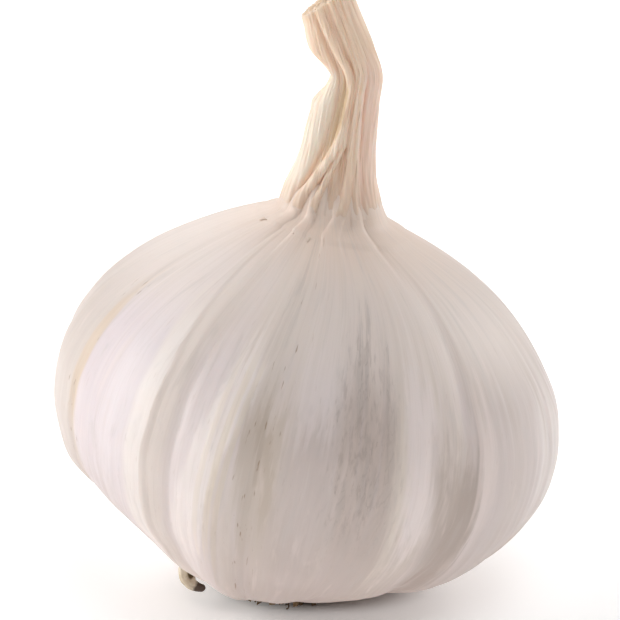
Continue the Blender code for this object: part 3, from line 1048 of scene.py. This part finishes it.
def one_root():
    """A root one unit long and one unit in radius, standing on the origin."""
    deselect_all()
    bpy.ops.mesh.primitive_cylinder_add(vertices=STUB_SIDES, radius=1.0, depth=1.0, location=(0, 0, 0.5))
    root = bpy.context.object
    root.name = "cut_roots"
    bpy.ops.object.transform_apply(location=True, rotation=False, scale=False)
    bpy.ops.object.mode_set(mode="EDIT")
    for height in STUB_CUTS:
        bpy.ops.mesh.select_all(action="SELECT")
        bpy.ops.mesh.bisect(plane_co=(0, 0, height), plane_no=(0, 0, 1))
    bpy.ops.mesh.select_all(action="DESELECT")
    bpy.ops.object.mode_set(mode="OBJECT")
    for face in root.data.polygons:
        face.select = face.center.z > 0.99
    bpy.ops.object.mode_set(mode="EDIT")
    bpy.ops.mesh.inset(thickness=RIM_WIDTH)
    bpy.ops.transform.translate(value=(0, 0, -RIM_SINK))
    bpy.ops.mesh.inset(thickness=CORE_INSET)
    bpy.ops.transform.translate(value=(0, 0, CORE_RISE))
    bpy.ops.object.mode_set(mode="OBJECT")
    bpy.ops.object.shade_smooth_by_angle(angle=math.radians(40))
    places = read_vectors(root)
    keep_values(root, "tip", places[:, 2])
    keep_values(root, "core", (np.hypot(places[:, 0], places[:, 1]) < 0.8) & (places[:, 2] > 0.5))
    return root, places


def across_of(along):
    """Two unit vectors square to a direction."""
    side = np.cross(along, (0.0, 1.0, 0.0))
    side /= np.linalg.norm(side)
    return side, np.cross(along, side)


def place_root(root, places, start, end, thick, draw):
    """Bends one root from start to end, with a little shrinkage round its sides."""
    along = end - start
    side, other = across_of(along / np.linalg.norm(along))
    turn = np.arctan2(places[:, 1], places[:, 0])
    lumps = 1 + 0.16 * np.sin(3 * turn + draw.uniform(0, 6.28))
    lumps += 0.08 * np.sin(5 * turn + draw.uniform(0, 6.28))
    girth = thick * (1 - (1 - STUB_TAPER) * places[:, 2]) * lumps
    bend = thick * draw.uniform(-0.6, 0.6) * np.sin(places[:, 2] * math.pi)
    ragged = draw.uniform(-0.12, 0.12) * places[:, 0] * (places[:, 2] > 0.8)
    moved = start + np.outer(places[:, 2] + ragged, along)
    moved += np.outer(places[:, 0] * girth + bend, side) + np.outer(places[:, 1] * girth, other)
    write_points(root, from_axis(moved))


def cut_roots():
    pattern, places = one_root()
    draw = random.Random(SEED)
    wild = random.Random(SEED + 1)
    made = []
    for count, ring_radius, splay, length in STUB_RINGS:
        for i in range(count):
            turn = 2 * math.pi * (i + draw.uniform(-STUB_SPREAD, STUB_SPREAD)) / count
            outward = np.array((math.cos(turn), math.sin(turn), 0.0))
            tilt = math.radians(splay + draw.uniform(-8.0, 8.0))
            start = outward * ring_radius + np.array((0.0, 0.0, PLATE_BOTTOM + STUB_SINK))
            reach = length * draw.uniform(0.75, 1.1) + STUB_SINK
            end = start + (outward * math.sin(tilt) - np.array((0, 0, math.cos(tilt)))) * reach
            thick = STUB_RADIUS * draw.uniform(0.8, 1.15)
            root = pattern.copy()
            root.data = pattern.data.copy()
            bpy.context.collection.objects.link(root)
            place_root(root, places, start, end, thick, wild)
            made.append(root)
    bpy.data.objects.remove(pattern)
    select_only(*made)
    bpy.ops.object.join()
    made[0].name = "cut_roots"
    return made[0]


roots = cut_roots()
report_piece(roots)

# %% [markdown]
# ## Root hairs, and the root that hangs out
#
# Between the cut roots lies a mat of fine broken hairs. They are drawn as one curve with a thin round
# bevel and turned into a mesh. At the left the photo shows one larger piece of root: a pale husk, split
# open at the front over a dark hollow, with a brown end. That one is a turned capsule carried along a
# bent path, dented where it is split.

# %% The hairs
HAIRS = 150
HAIR_POINTS = 6
HAIR_RADIUS = 0.15 * MM
HAIR_SEED = 21


def root_hairs():
    draw = random.Random(HAIR_SEED)
    curve = bpy.data.curves.new("root_hairs", "CURVE")
    curve.dimensions = "3D"
    curve.bevel_depth = HAIR_RADIUS
    curve.bevel_resolution = 1
    curve.use_fill_caps = True
    for i in range(HAIRS):
        turn, ring = draw.uniform(0, 2 * math.pi), PLATE_RADIUS * math.sqrt(draw.uniform(0.12, 0.8))
        heading, length = draw.uniform(0, 2 * math.pi), draw.uniform(1.2, 3.4) * MM
        place = np.array((ring * math.cos(turn), ring * math.sin(turn), PLATE_BOTTOM + 0.2 * MM))
        points = []
        for step in range(HAIR_POINTS):
            points.append(place.copy())
            heading += draw.uniform(-0.7, 0.7)
            drop = draw.uniform(0.15, 0.75) * MM
            ahead = np.array((math.cos(heading), math.sin(heading), 0.0))
            place = place + ahead * length / (HAIR_POINTS - 1)
            place[2] -= drop
            if np.hypot(place[0], place[1]) > PLATE_RADIUS - 0.4 * MM:
                heading += math.pi
        spline = curve.splines.new("POLY")
        spline.points.add(len(points) - 1)
        for point, place in zip(spline.points, from_axis(np.array(points))):
            lift = max(place[2], HAIR_RADIUS + GROUND_CLEAR)
            point.co = (place[0], place[1], lift, 1.0)
            point.radius = draw.uniform(0.7, 1.3)
    hairs = bpy.data.objects.new("root_hairs", curve)
    bpy.context.collection.objects.link(hairs)
    select_only(hairs)
    bpy.ops.object.convert(target="MESH")
    bpy.ops.object.shade_smooth()
    hairs = bpy.context.object
    places = read_vectors(hairs)
    places[:, 2] = np.maximum(places[:, 2], GROUND_CLEAR)
    write_points(hairs, places)
    return hairs


hairs = root_hairs()
report_piece(hairs)

# %% The root that hangs out
HUSK_PATH = (
    # x, y, z and radius in mm
    (-20.3, -6.3, 8.6, 0.9),
    (-22.7, -8.2, 10.0, 1.1),
    (-24.2, -9.4, 9.4, 1.35),
    (-24.8, -10.0, 7.4, 1.5),
    (-24.6, -10.3, 5.6, 1.45),
    (-23.7, -10.4, 4.2, 1.2),
    (-22.3, -10.3, 3.5, 0.85),
    (-20.9, -10.1, 3.2, 0.65),
)
HUSK_STEPS = 40
HUSK_RINGS = 90
HUSK_SAMPLES = 200
HUSK_SMOOTHINGS = 60
HUSK_CLOSE = 0.93
HUSK_SPLIT_X = -23.7
HUSK_SPLIT_Z = 7.0
HUSK_SPLIT_WIDTH = 0.75
HUSK_SPLIT_TALL = 1.5
HUSK_SPLIT_DEPTH = 1.1
BROWN_END = 0.72


def husk_outline():
    """A straight capsule one unit long; its radius comes from the path later."""
    shares = np.linspace(0, 1, HUSK_RINGS)
    return [(0.0, 0.0)] + [(1.0, float(share)) for share in shares] + [(0.0, 1.0)]


def husk_rows():
    """The smoothed path: for each sample its place, the two directions across it, and its girth."""
    path = np.array(HUSK_PATH)
    shares = np.linspace(0, 1, len(path))
    samples = np.linspace(0, 1, HUSK_SAMPLES)
    rows = np.stack([np.interp(samples, shares, path[:, i]) for i in range(4)], 1)
    for _ in range(HUSK_SMOOTHINGS):
        rows[1:-1] = (rows[:-2] + 2 * rows[1:-1] + rows[2:]) / 4
    along = np.gradient(rows[:, :3], axis=0)
    along /= np.linalg.norm(along, axis=1)[:, None]
    side = np.cross(along, (0.0, 1.0, 0.0))
    side /= np.linalg.norm(side, axis=1)[:, None]
    closing = np.clip((samples - HUSK_CLOSE) / (1 - HUSK_CLOSE), 0, 1)
    girth = rows[:, 3] * np.sqrt(np.clip(1 - closing**2, 0.02, 1))
    return samples, rows[:, :3], side, np.cross(along, side), girth


def shape_husk(piece):
    angle, radius, share = read_points(piece)
    samples, path, side, other, girth = husk_rows()

    def at(column):
        return np.interp(share, samples, column)

    turn = np.radians(angle)
    lumps = 1 + 0.07 * np.sin(7 * turn + share * 9) + 0.05 * np.sin(3 * turn - share * 14)
    lumps += 0.04 * np.sin(17 * turn + share * 5)
    reach = np.minimum(radius, 1.0) * at(girth) * lumps
    columns = []
    for i in range(3):
        across = np.cos(turn) * at(side[:, i]) + np.sin(turn) * at(other[:, i])
        columns.append(at(path[:, i]) + reach * across)
    places = np.stack(columns, 1)
    away_x = (places[:, 0] - HUSK_SPLIT_X) / HUSK_SPLIT_WIDTH
    away_z = (places[:, 2] - HUSK_SPLIT_Z) / HUSK_SPLIT_TALL
    facing = np.clip((at(path[:, 1]) - places[:, 1]) / 0.5, 0, 1)
    split = np.exp(-((away_x**2 + away_z**2) ** 1.5)) * facing
    places[:, 1] += HUSK_SPLIT_DEPTH * split
    places[:, 2] = np.maximum(places[:, 2], GROUND_CLEAR / MM)
    write_points(piece, places * MM)
    keep_values(piece, "split", split)
    keep_values(piece, "tip", share)


husk = turned("hanging_root", husk_outline(), HUSK_STEPS)
shape_husk(husk)
report_piece(husk)

# %% [markdown]
# ## The body, and what is replaced
#
# Nothing on a head of garlic moves, so every piece rides on the one body. The skin takes the place of
# the solid head, and the disc that of the solid root plate. The rest is added to them.

# %% Who rides and replaces what
for piece in (skin, neck):
    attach(piece, "root")
for piece in (disc, roots, hairs, husk):
    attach(piece, "root")
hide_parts("bulb")
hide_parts("root_plate")

# %% [markdown]
# ## The finish of the skin
#
# The colour of the skin is a story told lengthwise: pinkish white lobes, a painted highlight on the lit
# side of the first ridge and of the second lobe, cream lines where a skin ends, a brown furrow left of
# the middle that is partly the skin's own brown and partly painted shade, a mauve patch of thin skin
# right of it, and a tan seam with specks at the left. Each one is a band between two strands, faded in
# and out by height. Noise stretched from root to neck breaks all of it up, and goes on round the back.

# %% The bands of colour on the skin
SKIN_BANDS = (
    # name, left strand and its softness, right strand and its softness,
    # heights where it begins, is full, is still full and ends, colour, how much of it
    ("left edge", -110, 20, -69, 4.0, -5, 0, 80, 95, (219, 206, 197), 0.85),
    ("tan seam", -66.8, 1.6, -64.2, 1.4, 24, 36, 56, 70, (224, 200, 174), 0.7),
    ("left lobe", -62.5, 2.0, -39, 4.0, 2, 14, 60, 76, (238, 226, 227), 0.95),
    ("lobe shade", -63.5, 1.5, -57, 8.0, 6, 18, 56, 70, (222, 207, 209), 0.6),
    # Painted highlight on the lit left side of the first ridge.
    ("lip highlight", -41.5, 2.6, -37.2, 0.5, 6, 14, 58, 66, (249, 238, 231), 0.85),
    ("beige fold", -36.9, 0.4, -33.0, 5.0, 6, 14, 62, 70, (240, 226, 217), 0.8),
    ("second lobe", -30, 4.0, -25, 2.5, 4, 12, 52, 66, (236, 223, 221), 0.8),
    # Painted highlight on the lit part of the second lobe.
    ("lobe highlight", -25, 2.5, -19.5, 1.6, 8, 24, 54, 64, (252, 240, 235), 0.85),
    ("cream line a", -23.4, 0.6, -22.6, 0.5, 14, 22, 48, 58, (238, 222, 200), 0.3),
    ("cream line b", -20.6, 0.6, -19.7, 0.5, 12, 20, 52, 60, (238, 222, 198), 0.4),
    ("cream line c", -18.4, 0.5, -17.6, 0.3, 8, 16, 54, 62, (238, 222, 198), 0.35),
    # Darker brown along the furrow left of the middle: partly the skin's own brown, partly painted shade.
    ("brown shaded hollow", -14.6, 3.0, -8.0, 3.0, 12, 24, 45, 55, (210, 195, 183), 0.9),
    ("brown shaded core", -12.0, 1.6, -9.4, 1.5, 20, 30, 44, 50, (186, 168, 150), 0.35),
    ("middle", -5, 2.5, 5, 2.5, 10, 22, 40, 54, (213, 198, 191), 0.8),
    ("pale middle", -6, 2.0, 3, 2.0, 44, 54, 62, 72, (240, 227, 224), 0.7),
    ("mauve patch", 8.5, 5.0, 17.0, 4.5, 6, 26, 50, 68, (206, 189, 180), 0.85),
    ("cream ridge", 20.4, 0.9, 22.4, 0.5, 10, 20, 48, 60, (238, 224, 212), 0.7),
    ("lavender band", 23.5, 2.5, 29.0, 2.5, 20, 32, 50, 64, (251, 237, 234), 0.75),
    ("brown wedge", 31.0, 4.5, 40.0, 1.2, 2, 12, 37, 54, (189, 173, 163), 0.9),
    ("right lip", 40.2, 0.4, 44, 3.0, 26, 38, 54, 66, (240, 224, 218), 0.65),
    ("right lobe", 46, 4.0, 64, 6.0, 4, 12, 62, 74, (214, 200, 195), 0.8),
    ("right edge", 68, 6.0, 96, 8, 12, 30, 42, 66, (235, 224, 220), 0.7),
    ("right shoulder", 44, 8.0, 96, 10.0, 46, 62, 68, 78, (206, 191, 182), 0.8),
    ("left shoulder", -96, 8.0, -58, 6.0, 52, 64, 70, 78, (221, 209, 204), 0.75),
    ("back lobe a", 104, 4.0, 122, 3.0, 8, 20, 58, 70, (240, 227, 224), 0.8),
    ("back line a", 125.0, 0.5, 127.0, 0.6, 8, 18, 60, 70, (240, 224, 200), 0.5),
    ("back fold a", 128.0, 0.5, 136.0, 7.0, 8, 20, 52, 64, (208, 193, 181), 0.7),
    ("back seam", 156.5, 1.4, 159.0, 1.2, 20, 32, 58, 70, (222, 196, 168), 0.5),
    ("back lobe b", -176, 3.0, -150, 4.0, 8, 20, 58, 70, (238, 224, 226), 0.8),
    ("back line b", -146.4, 0.5, -144.6, 0.6, 8, 18, 60, 70, (240, 226, 204), 0.5),
    ("back fold b", -143.5, 0.6, -134.0, 8.0, 8, 20, 54, 66, (212, 197, 188), 0.7),
    ("back lobe c", -128, 4.0, -112, 4.0, 8, 20, 56, 68, (234, 220, 215), 0.7),
)


BAND_SLOPES = {
    # degrees that the band drifts to the left for each millimetre up
    "lobe highlight": -0.18,
    "brown shaded hollow": 0.2,
    "brown shaded core": 0.3,
    "mauve patch": 0.06,
    "brown wedge": 0.06,
}
BAND_MIDDLE = 40.0
SOFT_BAND = 3.5


def banded(finish, strand, height, colour, row):
    """Mixes one band of colour in, between its strands and its heights."""
    name, left, left_soft, right, right_soft, h0, h1, h2, h3, tint, share = row
    if name in BAND_SLOPES:
        strand = strand + (height - BAND_MIDDLE) * BAND_SLOPES[name]
    across = finish.ramp(strand, left - left_soft, left) * finish.ramp(strand, right + right_soft, right)
    upward = finish.ramp(height, h0, h1) * finish.ramp(height, h3, h2)
    return finish.layers(colour, (across * upward, share, tint))


print("bands of colour:", len(SKIN_BANDS))

# %% [markdown]
# ## What lies over the bands
#
# A soft band follows a wobbling strand and a crisp one a plain strand, so only the edges of the skins
# are sharp. The foot is darker than the rest, partly dirt and partly painted shade under the belly, and
# less so on the lit left lobe. Over all of it come clouds and streaks. The mauve patch gets a web of
# fine veins, and the brown furrow left of the middle and the tan seam get specks.

# %% The skin's finish
SKIN_NOISES = (
    # scale round the head, scale up it, detail, roughness, distortion
    (7.0, 1.6, 3.0, 0.55, 0.0),
    (34.0, 2.4, 4.0, 0.6, 0.0),
    (120.0, 5.0, 3.0, 0.6, 0.0),
    (72.0, 30.0, 2.0, 0.5, 0.0),
    (17.0, 7.0, 3.0, 0.65, 0.6),
    (46.0, 26.0, 3.0, 0.6, 0.0),
)
WEB_SCALE = (44.0, 44.0, 26.0)


def patch_mask(finish, strand, tall, blotch):
    """The mauve patch right of the middle, with ragged sides."""
    edge = strand + (blotch - 0.5) * 9.0
    across = finish.ramp(edge, 2.0, 9.0) * finish.ramp(edge, 22.0, 14.0)
    return across * finish.ramp(tall, 18.0, 38.0) * finish.ramp(tall, 68.0, 58.0)


def vein_web(finish, blotch):
    """Fine crooked veins: 1 on the borders between cells, and 0 inside them."""
    grain = finish.vector("MULTIPLY", finish.attribute("grain", "Vector"), WEB_SCALE)
    inlets = {"Vector": finish.vector("ADD", grain, blotch * 1.6), "Scale": 1.0}
    cells = finish.node("ShaderNodeTexVoronoi", {"feature": "DISTANCE_TO_EDGE"}, inlets)
    return finish.ramp(cells, 0.12, 0.0)


def skin_finish():
    finish = Finish("papery skin")
    ramp = finish.ramp
    strand, height, sunk = (finish.attribute(name) for name in ("strand", "height", "sunk"))
    broad, streak, fine, speck, cloud, blotch = (finish.grain_noise(*row) for row in SKIN_NOISES)
    wobble = strand + (streak - 0.5) * 3.0 + (broad - 0.5) * 6.0
    tall = height + (blotch - 0.5) * 10.0 + (streak - 0.5) * 26.0
    furrow = ramp(sunk, 0.5, 1.8)

    colour = finish.two_tone(broad, (230, 216, 213), (227, 213, 203))
    # Painted shade, with some dirt, darkens the furrows between the lobes.
    colour = finish.layers(colour, (furrow, 0.25, (206, 189, 176)))
    for row in SKIN_BANDS:
        _, _, left_soft, _, right_soft = row[:5]
        soft = left_soft + right_soft > SOFT_BAND
        colour = banded(finish, wobble if soft else strand, tall, colour, row)

    bright_lobe = ramp(strand, -50.0, -36.0) * ramp(strand, -6.0, -26.0)
    patch = patch_mask(finish, strand, tall, blotch)
    web = vein_web(finish, blotch) * ramp(cloud + (speck - 0.5), 0.45, 0.65)
    hollow = ramp(strand, -18.0, -14.0) * ramp(strand, -6.0, -10.0)
    seam = ramp(strand, -72.0, -68.0) * ramp(strand, -61.0, -64.0)
    colour = finish.layers(
        colour,
        (ramp(height, 52.0, 64.0), 0.7, (241, 227, 218)),
        (ramp(height, 66.0, 78.0), 0.85, (238, 215, 198)),
        # Darker towards the foot: partly dirt, partly painted shade under the belly, less on the lit left
        # lobe.
        (ramp(tall, 34.0, 8.0) * (1.0 - bright_lobe * 0.7), 0.8, (192, 175, 167)),
        (ramp(cloud, 0.52, 0.72), 0.30, (206, 196, 190)),
        (ramp(cloud, 0.46, 0.26), 0.30, (243, 227, 220)),
        (ramp(streak, 0.48, 0.78), 0.20, (206, 190, 180)),
        (ramp(streak, 0.44, 0.24), 0.17, (250, 240, 234)),
        (ramp(fine, 0.52, 0.78), 0.14, (200, 182, 172)),
        (patch * ramp(cloud, 0.46, 0.60), 0.45, (190, 176, 168)),
        (patch * web, 0.35, (166, 149, 140)),
        (patch * ramp(blotch, 0.50, 0.68), 0.45, (178, 161, 153)),
        (patch * ramp(streak, 0.5, 0.3), 0.25, (200, 188, 190)),
        (ramp(speck, 0.66, 0.75) * ((hollow + seam) * 0.6 + 0.1), 1.0, (160, 128, 100)),
    )
    relief = streak * 0.5 + fine * 0.35 + blotch * 0.15
    return finish.end(
        Base_Color=colour,
        Roughness=0.48 + furrow * 0.15,
        Normal=finish.bump(relief, 0.12 * MM, 0.5),
        Subsurface_Weight=0.10,
        Subsurface_Radius=(1.0, 0.6, 0.45),
        Subsurface_Scale=1.5 * MM,
    )


# %% [markdown]
# ## The finish of the neck
#
# The neck is drier and browner than the skin, with an olive brown valley beside its flap that is partly
# painted shade, a pink column at the right and worn brown streaks in the middle. The valleys between
# its pleats get painted shade, and so do the folds at its ragged foot; below that it takes the colour
# of the skin. The rolled layers of the cut are the same tan as the inside of the neck.

# %% The neck's finish
NECK_NOISES = (
    # scale round the neck, scale up it, detail, roughness
    (3.0, 2.4, 3.0, 0.55),
    (9.0, 4.0, 5.0, 0.65),
    (26.0, 7.0, 3.0, 0.6),
    (11.0, 8.0, 3.0, 0.6),
    (34.0, 15.0, 2.0, 0.5),
)
NECK_BANDS = (
    ("left flap", -110, 6.0, -34, 4.0, 60, 74, 104, 108, (255, 240, 222), 0.85),
    # Olive brown with painted shade in the valley behind the flap; the core is the darkest part.
    ("olive valley", -30, 5.0, -14, 4.0, 84, 92, 100, 107, (236, 208, 176), 0.85),
    ("valley core", -25, 3.0, -14, 3.0, 89, 94, 102, 107, (218, 190, 148), 0.7),
    ("first strand", -9, 3.0, -2, 3.0, 74, 82, 93, 99, (255, 234, 214), 0.7),
    ("worn strand", -9, 3.0, 4, 3.0, 94, 98, 103, 108, (228, 194, 164), 0.6),
    ("brown streak", 10, 2.0, 14, 2.0, 80, 88, 98, 105, (222, 188, 160), 0.7),
    ("pink column", 33, 6.0, 84, 8.0, 70, 82, 102, 112, (255, 224, 208), 0.8),
    ("tan top", -90, 8.0, 30, 10.0, 104, 108, 130, 140, (252, 222, 196), 0.8),
)


def neck_finish():
    finish = Finish("dried neck")
    ramp = finish.ramp
    strand, height, sunk, inside = (
        finish.attribute(name) for name in ("strand", "height", "sunk", "inside")
    )
    broad, streak, fine, blotch, speck = (finish.grain_noise(*row) for row in NECK_NOISES)
    wobble = strand + (streak - 0.5) * 12.0
    colour = finish.two_tone(broad, (254, 230, 208), (248, 218, 194))
    for row in NECK_BANDS:
        colour = banded(finish, wobble, height, colour, row)

    worn = ramp(strand, -34.0, -20.0) * ramp(strand, 60.0, 30.0) * 0.45 + 0.1
    # Painted shade in the folds at the ragged foot of the neck.
    tooth = height + (streak - 0.5) * 16.0
    hem_shade = ramp(tooth, 72.0, 75.0) * ramp(tooth, 88.0, 80.0)
    hem_shade = hem_shade * ramp(wobble, -40.0, -20.0) * ramp(wobble, 70.0, 50.0)
    colour = finish.layers(
        colour,
        # Painted shade in the valleys between the pleats.
        (ramp(sunk, 1.0, 2.1), 0.3, (226, 198, 172)),
        (ramp(streak, 0.5, 0.75), 0.35, (226, 196, 174)),
        (ramp(streak, 0.45, 0.25), 0.35, (255, 244, 230)),
        (ramp(fine, 0.52, 0.75), 0.2, (210, 172, 140)),
        (ramp(blotch, 0.52, 0.66), 0.3, (224, 190, 162)),
        (ramp(blotch, 0.46, 0.32), 0.3, (255, 240, 226)),
        (ramp(speck, 0.60, 0.70), worn, (184, 142, 108)),
        (ramp(height + (streak - 0.5) * 10.0, 88.0, 75.0), 0.9, (238, 213, 194)),
        (hem_shade, 0.42, (218, 187, 164)),
        (ramp(inside, 0.3, 1.0), 0.7, (232, 202, 172)),
    )
    return finish.end(
        Base_Color=colour,
        Roughness=0.62,
        Normal=finish.bump(streak * 0.6 + fine * 0.4, 0.2 * MM, 0.5),
        Subsurface_Weight=0.25,
        Subsurface_Radius=(1.0, 0.6, 0.4),
        Subsurface_Scale=2.5 * MM,
    )


# %% [markdown]
# ## The finishes of the roots
#
# The disc is grey-brown cork with dark cracks. The cut roots are darker and dirtier towards the disc,
# with a paler fibrous core in the cut. The hairs go from straw to dark brown, and the husk is the same
# cream as the skin outside and dark brown in its split.

# %% The roots' finishes
def root_noises(finish, fine_scale):
    """A slow noise that all of the roots share, and a fine one, both fixed in space."""
    place = finish.node("ShaderNodeTexCoord", outlet=3)
    return finish.noise(place, 420.0, 3.0, 0.6), finish.noise(place, fine_scale, 3.0, 0.65)


def disc_finish():
    finish = Finish("cork of the disc")
    broad, fine = root_noises(finish, 2600.0)
    cracks = finish.attribute("cracks")
    colour = finish.layers(
        finish.two_tone(broad, (128, 104, 80), (160, 136, 108)),
        (finish.ramp(cracks, 0.2, 0.9), 0.85, (62, 46, 34)),
        (finish.ramp(fine, 0.5, 0.75), 0.4, (92, 72, 54)),
    )
    return finish.end(Base_Color=colour, Roughness=0.92, Normal=finish.bump(fine + broad, 0.2 * MM, 0.8))


def roots_finish():
    finish = Finish("cut roots")
    broad, fine = root_noises(finish, 3400.0)
    tip, core = finish.attribute("tip"), finish.attribute("core")
    colour = finish.layers(
        finish.two_tone(broad, (132, 106, 78), (176, 148, 112)),
        (finish.ramp(tip, 0.9, 0.4), 0.6, (84, 64, 46)),
        (core, 0.7, (190, 166, 130)),
        (finish.ramp(fine, 0.5, 0.72), 0.45, (78, 58, 40)),
    )
    return finish.end(Base_Color=colour, Roughness=0.88, Normal=finish.bump(fine, 0.15 * MM, 0.8))


def hairs_finish():
    finish = Finish("root hairs")
    broad, fine = root_noises(finish, 2000.0)
    colour = finish.layers(
        finish.two_tone(broad, (98, 76, 54), (170, 142, 104)),
        (finish.ramp(fine, 0.5, 0.75), 0.5, (66, 50, 36)),
    )
    return finish.end(Base_Color=colour, Roughness=0.85, Normal=finish.bump(fine, 0.05 * MM, 0.6))


def husk_finish():
    finish = Finish("husk of the hanging root")
    broad, fine = root_noises(finish, 2400.0)
    split, tip = finish.attribute("split"), finish.attribute("tip")
    frayed_tip = tip + (broad - 0.5) * 0.2
    colour = finish.layers(
        finish.two_tone(broad, (238, 226, 206), (222, 206, 180)),
        (finish.ramp(fine, 0.5, 0.75), 0.35, (176, 152, 120)),
        (finish.ramp(split, 0.25, 0.6), 1.0, (112, 92, 62)),
        (finish.ramp(split, 0.6, 0.95), 0.6, (62, 48, 34)),
        (finish.ramp(frayed_tip, BROWN_END, BROWN_END + 0.08), 1.0, (96, 80, 70)),
    )
    return finish.end(Base_Color=colour, Roughness=0.7, Normal=finish.bump(fine, 0.12 * MM, 0.7))


for piece, made in (
    (skin, skin_finish()),
    (neck, neck_finish()),
    (disc, disc_finish()),
    (roots, roots_finish()),
    (hairs, hairs_finish()),
    (husk, husk_finish()),
):
    piece.data.materials.clear()
    piece.data.materials.append(made)
    print(piece.name, "has the finish", made.name)
